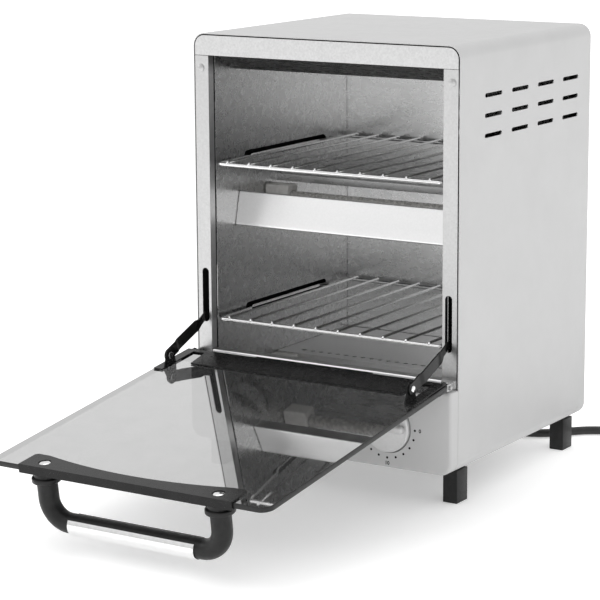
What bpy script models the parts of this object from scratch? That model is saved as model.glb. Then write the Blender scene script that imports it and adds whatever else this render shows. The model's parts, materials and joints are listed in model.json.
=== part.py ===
"""Two-tier toaster oven, built as separate sub-parts in metres, +Z up, front towards -Y.

The object's own coordinates put the front face of the metal frame at y = 0 and the underside of
the casing at z = 0. The empty "oven" carries them to the world, where the feet stand on z = 0.
"""
import math

import bmesh
import bpy
from mathutils import Matrix, Vector

MM = 0.001

# ---------------------------------------------------------------- driving dimensions
WIDTH = 235 * MM                 # casing, outside
DEPTH = 215 * MM                 # front frame face to the back panel's outer face
HEIGHT = 319 * MM                # casing, outside, without the feet
CORNER_RADIUS = 10 * MM          # long edges of the casing
CASING_SHEET = 0.8 * MM
FRAME_SHEET = 0.8 * MM
LINER_SHEET = 0.6 * MM
DOOR_SHEET = 1.0 * MM
FIT = 0.3 * MM                   # clearance between pieces that touch

FOOT_HEIGHT = 26 * MM
FOOT_WIDTH = 12.2 * MM
FOOT_LENGTH = 16.7 * MM
FOOT_SIDE_INSET = 5.3 * MM
FOOT_FRONT_INSET = 8.8 * MM
FOOT_BACK_INSET = 10.9 * MM

PANEL_HEIGHT = 64.3 * MM
PANEL_DEPTH = 11 * MM
PANEL_SHEET = 1.2 * MM
PANEL_EDGE = 2.5 * MM            # rounding of the front face's edges
PANEL_EDGE_STEPS = 4
PANEL_TOP_CORNER = 1.5 * MM

HINGE_Y = -7 * MM                # door axis, parallel to X
HINGE_ABOVE_PANEL = 3.2 * MM
HINGE_Z = PANEL_HEIGHT + HINGE_ABOVE_PANEL

CAVITY_SIDE_SPACE = 14.2 * MM    # between the casing's outside and the cavity
CAVITY_BACK_SPACE = 11 * MM
CAVITY_TOP_SPACE = 10 * MM
CAVITY_HALF_WIDTH = WIDTH / 2 - CAVITY_SIDE_SPACE
CAVITY_BACK = DEPTH - CAVITY_BACK_SPACE
CAVITY_TOP = HEIGHT - CAVITY_TOP_SPACE
CAVITY_BOTTOM = 30 * MM
TOP_STRIP_HEIGHT = 17 * MM
THRESHOLD_ABOVE_PANEL = 6.2 * MM
THRESHOLD_TOP = PANEL_HEIGHT + THRESHOLD_ABOVE_PANEL

STRIP_SLOT_WIDTH = 6.2 * MM      # slots that the door's link arms pass through
STRIP_SLOT_LOW = HINGE_Z + 24.5 * MM
STRIP_SLOT_HIGH = HINGE_Z + 67.5 * MM
STRIP_SLOT_X = CAVITY_HALF_WIDTH + 5.7 * MM

VENT_LENGTH = 27 * MM
VENT_HEIGHT = 3.2 * MM
VENT_COLUMNS = 4
VENT_ROWS = 3
VENT_FIRST_Y = 51.4 * MM
VENT_LAST_Y = DEPTH - 35.2 * MM
VENT_PITCH_Y = (VENT_LAST_Y - VENT_FIRST_Y) / (VENT_COLUMNS - 1)
VENT_TOP_BELOW_CASING_TOP = 39.6 * MM
VENT_PITCH_Z = 15 * MM

RACK_LEVELS = {"upper_rack": 217.5 * MM, "lower_rack": 94.5 * MM}
RACK_FRAME_RADIUS = 1.5 * MM
RACK_WIRE_RADIUS = 1.05 * MM
RACK_WIRE_PITCH = 20 * MM
RACK_WIRES = 2 * int((CAVITY_HALF_WIDTH + 1 * MM) / RACK_WIRE_PITCH)
RACK_FRONT = 5 * MM
RACK_BACK_GAP = 6 * MM
RAIL_FRONT = 50 * MM             # where the frame's wire turns out into the wall slot
RAIL_BACK = CAVITY_BACK - 36 * MM
RAIL_JOG = 8 * MM
RAIL_SLOT_CLEARANCE = 2 * MM
RAIL_SLOT_LOW = 2.6 * MM
RAIL_SLOT_HIGH = 4.6 * MM
RAIL_OUTSIDE_WALL = 1.6 * MM     # rail centre, outwards of the wall's inner face

HEATER_RADIUS = 5 * MM
HEATER_Y = 84 * MM
HEATER_LEVELS = {"top": CAVITY_TOP - 13 * MM, "middle": 182 * MM, "bottom": 41 * MM}
HOLDER_SIZE = (22 * MM, 15 * MM, 20 * MM)
HOLDER_GRIP = 12 * MM
TOP_GUARD_FRONT = (4.4 * MM, HEIGHT - TOP_STRIP_HEIGHT + 0.2 * MM)
TOP_GUARD_BACK = (43 * MM, CAVITY_TOP - 21.3 * MM)
MIDDLE_GUARD_LOW = (34 * MM, HEATER_LEVELS["middle"] - 17.5 * MM)
MIDDLE_GUARD_HIGH = (40.2 * MM, HEATER_LEVELS["middle"] + 9.5 * MM)
MIDDLE_GUARD_LOW_FOLD = 12 * MM
MIDDLE_GUARD_HIGH_FOLD = 9 * MM

FLOOR_PLATE_FRONT = 93 * MM
FLOOR_PLATE_LEVELS = {"upper_floor_plate": HEATER_LEVELS["middle"] + 16 * MM,
                      "lower_floor_plate": HEATER_LEVELS["bottom"] + 10 * MM}
FLOOR_PLATE_LIP = 5 * MM
PERFORATION_PITCH = 8 * MM
PERFORATIONS = int(2 * (CAVITY_HALF_WIDTH - 15 * MM) / PERFORATION_PITCH)
PERFORATION_RADIUS = 2.2 * MM
PERFORATION_SETBACK = 12 * MM

KNOB_X = 63.1 * MM
KNOB_Z = 32 * MM
KNOB_RADIUS = 19.4 * MM
KNOB_GAP = 0.9 * MM
KNOB_PROUD = 3 * MM
KNOB_GRIP_HEIGHT = 7 * MM
KNOB_THICKNESS = 6 * MM
SHAFT_RADIUS = 3 * MM

DOOR_OPEN_SAG = math.radians(7.65)
GLASS_THICKNESS = 4 * MM
GLASS_TOP_FACE = 4.85 * MM       # glass face that looks into the oven, above the axis
GLASS_NEAR = 9 * MM
GLASS_CORNER = 9 * MM
GLASS_FAR = HEIGHT - HINGE_Z
GLASS_HALF_WIDTH = WIDTH / 2 - 0.3 * MM
PIN_RADIUS = 1.5 * MM

HINGE_STRIP_NEAR = 7.6 * MM
HINGE_STRIP_FAR = 36 * MM
HINGE_STRIP_HALF = WIDTH / 2 - 20.5 * MM
HINGE_ARM_FAR = 55 * MM
HINGE_ARM_WIDTH = 9.5 * MM
EAR_ALONG = 44 * MM              # link pivot, from the door axis along the door
EAR_ABOVE = 13.8 * MM
EAR_RADIUS = 5.5 * MM
LINK_WIDTH = 9.4 * MM
LINK_TIP_WIDTH = 5.8 * MM
LINK_SHEET = 1.2 * MM
LINK_REACH = 45 * MM
LINK_RISE = math.radians(21.5)
LINK_HOOK_TURN = math.radians(9)
LINK_HOOK_LENGTH = 11.3 * MM
LINK_PIN_RADIUS = 1.4 * MM

HANDLE_SPAN = 73.5 * MM          # half the distance between the two legs
HANDLE_ALONG = GLASS_FAR - 8 * MM
HANDLE_DROP = 42 * MM
HANDLE_RADIUS = 7.4 * MM
HANDLE_BEND = 17 * MM
SLEEVE_HALF = 53.5 * MM
SLEEVE_SHEET = 0.7 * MM
SLEEVE_OPEN_HALF_ANGLE = math.radians(50)
BRACKET_HALF = 90 * MM
BRACKET_WRAP = 1.4 * MM
BRACKET_END_WIDTH = 21 * MM
BRACKET_MIDDLE_WIDTH = 12 * MM
SCREW_RADIUS = 4.2 * MM

CORD_RADIUS = 3.4 * MM
GLAND_X = -45 * MM
GLAND_Z = 14 * MM
GLAND_LENGTH = 22 * MM
COIL_CENTRE = (205 * MM, DEPTH + 17 * MM)
COIL_RADIUS = 40 * MM
COIL_TURNS_ACROSS = 2
FLOOR = -FOOT_HEIGHT

# The object is centred over the world's origin: door tip in front, gland at the back.
DOOR_REACH = -HINGE_Y + (GLASS_FAR + BRACKET_WRAP) * math.cos(DOOR_OPEN_SAG) + 0.9 * MM
FRONT_Y = (DOOR_REACH - DEPTH - GLAND_LENGTH) / 2


# ---------------------------------------------------------------- scene and materials
def clear_scene():
    for obj in list(bpy.data.objects):
        bpy.data.objects.remove(obj, do_unlink=True)


def make_material(name, colour, roughness, metallic):
    material = bpy.data.materials.new(name)
    material.use_nodes = True
    shader = material.node_tree.nodes["Principled BSDF"]
    shader.inputs["Base Color"].default_value = (*colour, 1.0)
    shader.inputs["Roughness"].default_value = roughness
    shader.inputs["Metallic"].default_value = metallic
    return material


def make_materials():
    return {
        "white_paint": make_material("white_paint", (0.72, 0.72, 0.72), 0.45, 0.0),
        "galvanised": make_material("galvanised", (0.62, 0.62, 0.63), 0.38, 1.0),
        "steel": make_material("steel", (0.55, 0.55, 0.56), 0.3, 1.0),
        "chrome": make_material("chrome", (0.8, 0.8, 0.8), 0.12, 1.0),
        "black_paint": make_material("black_paint", (0.02, 0.02, 0.02), 0.3, 0.0),
        "black_plastic": make_material("black_plastic", (0.03, 0.03, 0.03), 0.45, 0.0),
        "rubber": make_material("rubber", (0.015, 0.015, 0.015), 0.6, 0.0),
        "ceramic": make_material("ceramic", (0.8, 0.79, 0.76), 0.55, 0.0),
        "quartz": make_material("quartz", (0.75, 0.73, 0.7), 0.25, 0.0),
        "mirror_glass": make_material("mirror_glass", (0.6, 0.6, 0.6), 0.03, 0.9),
        "knob": make_material("knob", (0.75, 0.75, 0.75), 0.35, 0.3),
    }


def make_empty(name, parent, location, rotation_x=0.0):
    empty = bpy.data.objects.new(name, None)
    bpy.context.scene.collection.objects.link(empty)
    empty.parent = parent
    empty.location = location
    empty.rotation_euler = (rotation_x, 0.0, 0.0)
    return empty


# ---------------------------------------------------------------- mesh building blocks
def add_object(name, data, parent, material, smooth=False):
    obj = bpy.data.objects.new(name, data)
    bpy.context.scene.collection.objects.link(obj)
    obj.parent = parent
    if material is not None:
        data.materials.append(material)
    if smooth:
        data.shade_smooth()
        data.set_sharp_from_angle(angle=math.radians(35))
    return obj


def finish_mesh(name, bm, frame):
    bmesh.ops.recalc_face_normals(bm, faces=bm.faces)
    bm.transform(frame)
    if frame.determinant() < 0:
        bmesh.ops.reverse_faces(bm, faces=bm.faces)
    mesh = bpy.data.meshes.new(name)
    bm.to_mesh(mesh)
    bm.free()
    return mesh


def axes(u, v, w, origin=(0, 0, 0)):
    """Matrix that carries a drawing's (u, v) and its thickness w to the object's axes."""
    columns = Matrix((u, v, w)).transposed().to_4x4()
    return Matrix.Translation(origin) @ columns


def facing_front(y=0.0):
    return axes((1, 0, 0), (0, 0, 1), (0, 1, 0), (0, y, 0))


def facing_side(x=0.0):
    return axes((0, 1, 0), (0, 0, 1), (1, 0, 0), (x, 0, 0))


def facing_up(z=0.0):
    return axes((1, 0, 0), (0, 1, 0), (0, 0, 1), (0, 0, z))


def extrude_outline(name, loops, thickness, frame):
    """Solid plate from an outer loop and any hole loops, drawn in (u, v), thick along w."""
    bm = bmesh.new()
    for loop in loops:
        verts = [bm.verts.new((u, v, 0.0)) for u, v in loop]
        for i, vert in enumerate(verts):
            bm.edges.new((vert, verts[(i + 1) % len(verts)]))
    bmesh.ops.triangle_fill(bm, use_beauty=True, edges=bm.edges[:])
    grown = bmesh.ops.extrude_face_region(bm, geom=bm.faces[:])
    top = [item for item in grown["geom"] if isinstance(item, bmesh.types.BMVert)]
    bmesh.ops.translate(bm, verts=top, vec=(0.0, 0.0, thickness))
    return finish_mesh(name, bm, frame)


def arc(centre, radius, start, end, steps):
    """Points on a circle from one angle to another, in degrees."""
    points = []
    for i in range(steps + 1):
        angle = math.radians(start + (end - start) * i / steps)
        points.append((centre[0] + radius * math.cos(angle), centre[1] + radius * math.sin(angle)))
    return points


def rectangle(u0, v0, u1, v1):
    return [(u0, v0), (u1, v0), (u1, v1), (u0, v1)]


def rounded_rectangle(u0, v0, u1, v1, low_radius, high_radius, steps=8):
    low, high = low_radius, high_radius
    points = arc((u1 - low, v0 + low), low, -90, 0, steps)
    points += arc((u1 - high, v1 - high), high, 0, 90, steps)
    points += arc((u0 + high, v1 - high), high, 90, 180, steps)
    points += arc((u0 + low, v0 + low), low, 180, 270, steps)
    return points


def circle(u, v, radius, steps=20):
    return arc((u, v), radius, 0, 360 - 360 / steps, steps - 1)


def obround(u0, v0, u1, v1, steps=8):
    """Slot with round ends, along its longer side."""
    if u1 - u0 > v1 - v0:
        radius = (v1 - v0) / 2
        points = arc((u1 - radius, v0 + radius), radius, -90, 90, steps)
        return points + arc((u0 + radius, v0 + radius), radius, 90, 270, steps)
    radius = (u1 - u0) / 2
    points = arc((u0 + radius, v1 - radius), radius, 0, 180, steps)
    return points + arc((u0 + radius, v0 + radius), radius, 180, 360, steps)


def box_mesh(name, low, high, bevel=0.0):
    bm = bmesh.new()
    bmesh.ops.create_cube(bm, size=1.0)
    size = Vector(high) - Vector(low)
    middle = (Vector(high) + Vector(low)) / 2
    bmesh.ops.scale(bm, vec=size, verts=bm.verts)
    bmesh.ops.translate(bm, vec=middle, verts=bm.verts)
    if bevel > 0.0:
        bmesh.ops.bevel(bm, geom=bm.edges[:], offset=bevel, segments=3, profile=0.5, affect="EDGES")
    return finish_mesh(name, bm, Matrix.Identity(4))


def turned_mesh(name, profile, frame, sides=40, closed=False):
    """Solid of revolution about w. The profile holds (radius, height) points."""
    bm = bmesh.new()
    rings = []
    for radius, height in profile:
        count = 1 if radius == 0.0 else sides
        ring = []
        for i in range(count):
            angle = 2 * math.pi * i / sides
            ring.append(bm.verts.new((radius * math.cos(angle), radius * math.sin(angle), height)))
        rings.append(ring)
    pairs = list(zip(rings, rings[1:]))
    if closed:
        pairs.append((rings[-1], rings[0]))
    for first, second in pairs:
        for i in range(sides):
            j = (i + 1) % sides
            corners = [first[i % len(first)], first[j % len(first)]]
            corners += [second[j % len(second)], second[i % len(second)]]
            unique = list(dict.fromkeys(corners))
            if len(unique) > 2:
                bm.faces.new(unique)
    return finish_mesh(name, bm, frame)


def curve_data(name, points, radius, cyclic=False, resolution=3):
    data = bpy.data.curves.new(name, "CURVE")
    data.dimensions = "3D"
    data.bevel_depth = radius
    data.bevel_resolution = resolution
    data.use_fill_caps = True
    spline = data.splines.new("POLY")
    spline.points.add(len(points) - 1)
    for point, place in zip(spline.points, points):
        point.co = (*place, 1.0)
    spline.use_cyclic_u = cyclic
    return data


def curve_mesh(name, points, radius, cyclic=False, resolution=3):
    """Mesh of a round bar along a path, closed and welded at its caps."""
    obj = bpy.data.objects.new(name, curve_data(name, points, radius, cyclic, resolution))
    bpy.context.scene.collection.objects.link(obj)
    graph = bpy.context.evaluated_depsgraph_get()
    raw = bpy.data.meshes.new_from_object(obj.evaluated_get(graph))
    bpy.data.objects.remove(obj, do_unlink=True)
    bm = bmesh.new()
    bm.from_mesh(raw)
    bmesh.ops.remove_doubles(bm, verts=bm.verts, dist=0.01 * MM)
    return finish_mesh(name, bm, Matrix.Identity(4))


def combine(name, base, others, operation):
    """Mesh of the base joined with, or cut by, each of the other meshes in turn."""
    result = base
    for other in others:
        target = bpy.data.objects.new(name, result)
        tool = bpy.data.objects.new(name + "_tool", other)
        for obj in (target, tool):
            bpy.context.scene.collection.objects.link(obj)
        modifier = target.modifiers.new(operation.lower(), "BOOLEAN")
        modifier.operation = operation
        modifier.object = tool
        modifier.solver = "EXACT"
        graph = bpy.context.evaluated_depsgraph_get()
        result = bpy.data.meshes.new_from_object(target.evaluated_get(graph))
        for obj in (target, tool):
            bpy.data.objects.remove(obj, do_unlink=True)
    return result


def mirrored(mesh):
    copy = mesh.copy()
    copy.transform(Matrix.Scale(-1, 4, (1, 0, 0)))
    copy.flip_normals()
    return copy


def place_pair(name, mesh_right, parent, material, smooth=False):
    """The same piece on both sides of the object's middle plane."""
    add_object(name + "_right", mesh_right, parent, material, smooth)
    add_object(name + "_left", mirrored(mesh_right), parent, material, smooth)


# ---------------------------------------------------------------- casing and feet
def vent_loops():
    loops = []
    for row in range(VENT_ROWS):
        z = HEIGHT - VENT_TOP_BELOW_CASING_TOP - row * VENT_PITCH_Z
        for column in range(VENT_COLUMNS):
            y = VENT_FIRST_Y + column * VENT_PITCH_Y
            half = VENT_LENGTH / 2
            loops.append(obround(y - half, z - VENT_HEIGHT / 2, y + half, z + VENT_HEIGHT / 2, 5))
    return loops


def casing_mesh():
    """Top and sides in one wrapped sheet, with flanges turned in under the base plate."""
    half = WIDTH / 2
    flange = 24 * MM
    outer = rounded_rectangle(-half, 0, half, HEIGHT, CORNER_RADIUS, CORNER_RADIUS)
    inner = rounded_rectangle(
        -half + CASING_SHEET, CASING_SHEET, half - CASING_SHEET, HEIGHT - CASING_SHEET,
        CORNER_RADIUS - CASING_SHEET, CORNER_RADIUS - CASING_SHEET)
    outline = [(half - flange, 0)] + outer + [(-half + flange, 0)]
    outline += [(-half + flange, CASING_SHEET)] + inner[::-1] + [(half - flange, CASING_SHEET)]
    shell = extrude_outline("casing", [outline], DEPTH - FIT, facing_front(FIT))
    cutters = [extrude_outline("vent", [loop], WIDTH + 20 * MM, facing_side(-half - 10 * MM))
               for loop in vent_loops()]
    return combine("casing", shell, cutters, "DIFFERENCE")


def base_plate_mesh():
    half = WIDTH / 2 - CASING_SHEET - CORNER_RADIUS
    low = CASING_SHEET + FIT
    return box_mesh("base_plate", (-half, 12 * MM, low), (half, DEPTH - 4 * MM, low + CASING_SHEET))


def back_panel_mesh():
    inset = CASING_SHEET + FIT
    half = WIDTH / 2 - inset
    radius = CORNER_RADIUS - inset
    outline = rounded_rectangle(-half, inset, half, HEIGHT - inset, radius, radius)
    hole = circle(GLAND_X, GLAND_Z, 5.3 * MM)
    loops = [outline, hole]
    for row in range(5):
        z = 0.72 * HEIGHT + row * 12 * MM
        loops.append(obround(-40 * MM, z, 40 * MM, z + 4 * MM))
    return extrude_outline("back_panel", loops, CASING_SHEET, facing_front(DEPTH - CASING_SHEET))


def build_feet(oven, material):
    x = WIDTH / 2 - FOOT_SIDE_INSET
    front = FOOT_FRONT_INSET
    back = DEPTH - FOOT_BACK_INSET - FOOT_LENGTH
    for place, y in (("front", front), ("back", back)):
        low = (x - FOOT_WIDTH, y, FLOOR)
        high = (x, y + FOOT_LENGTH, -FIT)
        place_pair("foot_" + place, box_mesh("foot", low, high, 0.6 * MM), oven, material)


# ---------------------------------------------------------------- front frame
def strip_edges():
    """Outer and inner edge of a side strip, as distances from the middle plane."""
    return WIDTH / 2 - CASING_SHEET - FIT, CAVITY_HALF_WIDTH + FIT


def side_strip_mesh():
    outer, inner = strip_edges()
    low = PANEL_HEIGHT + FIT
    high = HEIGHT - TOP_STRIP_HEIGHT - FIT
    slot_half = STRIP_SLOT_WIDTH / 2
    slot = obround(STRIP_SLOT_X - slot_half, STRIP_SLOT_LOW, STRIP_SLOT_X + slot_half, STRIP_SLOT_HIGH)
    rivet = circle(rivet_x(), rivet_z(), 1.9 * MM, 16)
    plate = extrude_outline("strip", [rectangle(inner, low, outer, high), slot, rivet],
                            FRAME_SHEET, facing_front())
    flange = box_mesh("flange", (inner, FRAME_SHEET / 2, low), (inner + FRAME_SHEET, 7 * MM, high))
    lug_outline = [(-11 * MM, low + 0.4 * MM), (-11 * MM, HINGE_Z + 2.6 * MM),
                   (FRAME_SHEET / 2, HINGE_Z + 3.4 * MM), (FRAME_SHEET / 2, low + 0.4 * MM)]
    hole = circle(HINGE_Y, HINGE_Z, PIN_RADIUS + 0.2 * MM, 16)
    lug = extrude_outline("lug", [lug_outline, hole], 1.2 * MM, facing_side(lug_x()))
    return combine("strip", plate, [flange, lug], "UNION")


def rivet_x():
    return WIDTH / 2 - 6.8 * MM


def rivet_z():
    return HEIGHT - 27 * MM


def lug_x():
    return WIDTH / 2 - 4 * MM


def rivet_mesh():
    profile = [(0.0, -0.9 * MM), (1.6 * MM, -0.75 * MM), (3.2 * MM, -FIT), (1.6 * MM, -FIT),
               (1.6 * MM, 3 * MM), (0.0, 3 * MM)]
    frame = axes((1, 0, 0), (0, 0, 1), (0, 1, 0), (rivet_x(), 0, rivet_z()))
    return turned_mesh("rivet", profile, frame, 24)


def top_strip_mesh():
    outer = strip_edges()[0]
    high = HEIGHT - CASING_SHEET - FIT
    low = HEIGHT - TOP_STRIP_HEIGHT
    radius = CORNER_RADIUS - CASING_SHEET - FIT
    outline = rounded_rectangle(-outer, low, outer, high, 0.01 * MM, radius)
    plate = extrude_outline("top_strip", [outline], FRAME_SHEET, facing_front())
    lip = box_mesh("lip", (-CAVITY_HALF_WIDTH + 2 * MM, FRAME_SHEET / 2, low),
                   (CAVITY_HALF_WIDTH - 2 * MM, 4 * MM, low + FRAME_SHEET))
    return combine("top_strip", plate, [lip], "UNION")


def threshold_mesh():
    """Bottom member of the frame: an upright sheet behind the panel with a flange on top."""
    half = CAVITY_HALF_WIDTH - FIT
    outline = [(0.0, 46 * MM), (FRAME_SHEET, 46 * MM), (FRAME_SHEET, THRESHOLD_TOP - FRAME_SHEET),
               (9 * MM, THRESHOLD_TOP - FRAME_SHEET), (9 * MM, THRESHOLD_TOP), (0.0, THRESHOLD_TOP)]
    return extrude_outline("front_threshold", [outline], 2 * half, facing_side(-half))


# ---------------------------------------------------------------- cavity
def side_wall_mesh():
    low, step = CAVITY_BOTTOM, THRESHOLD_TOP - 7 * MM + FIT
    outline = [(8.5 * MM, step), (30 * MM, step - 6 * MM), (64 * MM, low), (CAVITY_BACK, low),
               (CAVITY_BACK, CAVITY_TOP), (8.5 * MM, CAVITY_TOP)]
    loops = [outline]
    for level in RACK_LEVELS.values():
        loops.append(obround(RAIL_FRONT - RAIL_SLOT_CLEARANCE, level - RAIL_SLOT_LOW,
                             RAIL_BACK + RAIL_SLOT_CLEARANCE, level + RAIL_SLOT_HIGH))
    return extrude_outline("side_wall", loops, LINER_SHEET, facing_side(CAVITY_HALF_WIDTH))


def cavity_back_mesh():
    half = CAVITY_HALF_WIDTH + LINER_SHEET
    outline = rectangle(-half, CAVITY_BOTTOM, half, CAVITY_TOP)
    return extrude_outline("cavity_back", [outline], LINER_SHEET, facing_front(CAVITY_BACK + FIT))


def cavity_sheet_mesh(name, z):
    half = CAVITY_HALF_WIDTH + LINER_SHEET
    return box_mesh(name, (-half, 8 * MM, z), (half, CAVITY_BACK + FIT + LINER_SHEET, z + LINER_SHEET))


def cavity_floor_mesh():
    """Floor pan: high in front, above the control compartment, then sloping down to level."""
    half = CAVITY_HALF_WIDTH + LINER_SHEET
    low = CAVITY_BOTTOM - FIT - LINER_SHEET
    top_side = [(8.5 * MM, THRESHOLD_TOP - 7 * MM), (30 * MM, THRESHOLD_TOP - 13 * MM),
                (64 * MM, low + LINER_SHEET), (CAVITY_BACK + FIT + LINER_SHEET, low + LINER_SHEET)]
    under_side = [(y, z - LINER_SHEET) for y, z in reversed(top_side)]
    return extrude_outline("cavity_floor", [top_side + under_side], 2 * half, facing_side(-half))


def sloped_sheet_mesh(name, front, back, thickness):
    """Flat sheet across the cavity between two edges, given as (y, z)."""
    half = CAVITY_HALF_WIDTH - 0.5 * MM
    along = Vector((back[0] - front[0], back[1] - front[1])).normalized()
    step = (-along[1] * thickness, along[0] * thickness)
    outline = [front, back, (back[0] + step[0], back[1] + step[1]),
               (front[0] + step[0], front[1] + step[1])]
    return extrude_outline(name, [outline], 2 * half, facing_side(-half))


def middle_guard_mesh():
    """Leaning shield in front of the middle heater, with its edges folded back."""
    half = CAVITY_HALF_WIDTH - 0.5 * MM
    low, high, sheet = MIDDLE_GUARD_LOW, MIDDLE_GUARD_HIGH, LINER_SHEET
    low_end = low[0] + MIDDLE_GUARD_LOW_FOLD
    high_end = (high[0] + MIDDLE_GUARD_HIGH_FOLD, high[1] - 1.5 * MM)
    outline = [low, high, high_end, (high_end[0], high_end[1] - sheet),
               (high[0] + sheet, high[1] - sheet), (low[0] + sheet, low[1] + sheet),
               (low_end, low[1] + sheet), (low_end, low[1])]
    return extrude_outline("middle_guard", [outline], 2 * half, facing_side(-half))


def floor_plate_mesh(name, z):
    """Heater cover: a level sheet with a lip turned down in front and a row of holes."""
    half = CAVITY_HALF_WIDTH - 0.5 * MM
    front, back = FLOOR_PLATE_FRONT, CAVITY_BACK - 1 * MM
    loops = [rectangle(-half, front, half, back)]
    for i in range(PERFORATIONS):
        x = (i - (PERFORATIONS - 1) / 2) * PERFORATION_PITCH
        loops.append(circle(x, front + PERFORATION_SETBACK, PERFORATION_RADIUS, 10))
    sheet = extrude_outline(name, loops, LINER_SHEET, facing_up(z))
    lip = box_mesh("lip", (-half, front, z - FLOOR_PLATE_LIP),
                   (half, front + LINER_SHEET, z + LINER_SHEET / 2))
    return combine(name, sheet, [lip], "UNION")


def rack_frame_points(level):
    front, back = RACK_FRONT, CAVITY_BACK - RACK_BACK_GAP
    rail = CAVITY_HALF_WIDTH + RAIL_OUTSIDE_WALL
    inside = CAVITY_HALF_WIDTH - RACK_FRAME_RADIUS - 1.2 * MM
    right = [(inside - 1.6 * MM, front, level), (inside, RAIL_FRONT, level),
             (rail, RAIL_FRONT + RAIL_JOG, level), (rail, RAIL_BACK - RAIL_JOG, level),
             (inside, RAIL_BACK, level), (inside - 3 * MM, back, level)]
    return right + [(-x, y, z) for x, y, z in reversed(right)]


def rack_mesh(name, level):
    """Wire rack: a closed frame with side rails, and wires welded on top of it."""
    frame = curve_mesh(name, rack_frame_points(level), RACK_FRAME_RADIUS, True, 2)
    sink = 0.45 * MM
    z = level + RACK_FRAME_RADIUS + RACK_WIRE_RADIUS - sink
    wires = []
    for i in range(RACK_WIRES):
        x = (i - (RACK_WIRES - 1) / 2) * RACK_WIRE_PITCH
        ends = [(x, RACK_FRONT - 1.0 * MM, z), (x, CAVITY_BACK - RACK_BACK_GAP + 2.6 * MM, z)]
        wires.append(curve_mesh("wire", ends, RACK_WIRE_RADIUS, False, 1))
    return combine(name, frame, wires, "UNION")


def build_heater(oven, level_name, level, materials):
    end = CAVITY_HALF_WIDTH - FIT
    width, depth, height = HOLDER_SIZE
    block = box_mesh("holder", (end - width, HEATER_Y - depth / 2, level - height / 2),
                     (end, HEATER_Y + depth / 2, level + height / 2), 1.5 * MM)
    tube_end = end - width + HOLDER_GRIP
    bore_frame = axes((0, 1, 0), (0, 0, 1), (1, 0, 0), (0, HEATER_Y, level))
    bore = turned_mesh("bore", [(0.0, end - width - 5 * MM), (HEATER_RADIUS + FIT, end - width - 5 * MM),
                                (HEATER_RADIUS + FIT, tube_end + FIT), (0.0, tube_end + FIT)],
                       bore_frame, 24)
    holder = combine("holder", block, [bore], "DIFFERENCE")
    place_pair("heater_holder_" + level_name, holder, oven, materials["ceramic"])
    tube = turned_mesh("tube", [(0.0, -tube_end), (HEATER_RADIUS, -tube_end),
                                (HEATER_RADIUS, tube_end), (0.0, tube_end)], bore_frame, 24)
    add_object("heater_" + level_name, tube, oven, materials["quartz"], True)


# ---------------------------------------------------------------- control panel
def panel_outline(inset):
    half = WIDTH / 2 - inset
    low_radius = CORNER_RADIUS - inset
    return rounded_rectangle(-half, inset, half, PANEL_HEIGHT - inset, low_radius, PANEL_TOP_CORNER)


def stacked_mesh(name, layers, frame):
    """Solid through outlines of equal point count, each (loop, height along w)."""
    bm = bmesh.new()
    rings = []
    for loop, height in layers:
        rings.append([bm.verts.new((u, v, height)) for u, v in loop])
    for low, high in zip(rings, rings[1:]):
        for i, vert in enumerate(low):
            j = (i + 1) % len(low)
            bm.faces.new((vert, low[j], high[j], high[i]))
    bm.faces.new(rings[0][::-1])
    bm.faces.new(rings[-1])
    return finish_mesh(name, bm, frame)


def panel_mesh():
    """Pan that stands proud of the frame, open at the back, with a hole round each knob."""
    layers = []
    for i in range(PANEL_EDGE_STEPS + 1):
        angle = math.pi / 2 * i / PANEL_EDGE_STEPS
        inset = PANEL_EDGE * (1 - math.sin(angle))
        layers.append((panel_outline(inset), PANEL_EDGE * (1 - math.cos(angle)) - PANEL_DEPTH))
    layers.append((panel_outline(0.0), 0.0))
    body = stacked_mesh("panel", layers, facing_front())
    hollow = extrude_outline("hollow", [panel_outline(PANEL_SHEET)], PANEL_DEPTH,
                             facing_front(PANEL_EDGE + 0.2 * MM - PANEL_DEPTH))
    holes = []
    for side in (-1, 1):
        loop = circle(side * KNOB_X, KNOB_Z, KNOB_RADIUS + KNOB_GAP, 48)
        holes.append(extrude_outline("hole", [loop], PANEL_DEPTH, facing_front(-PANEL_DEPTH - 5 * MM)))
    return combine("panel", body, [hollow] + holes, "DIFFERENCE")


def control_bracket_mesh():
    half = CAVITY_HALF_WIDTH
    loops = [rectangle(-half, 4 * MM, half, 44 * MM)]
    for side in (-1, 1):
        loops.append(circle(side * KNOB_X, KNOB_Z, SHAFT_RADIUS + 1 * MM, 20))
    return extrude_outline("control_bracket", loops, FRAME_SHEET, facing_front(1.5 * MM))


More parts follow.
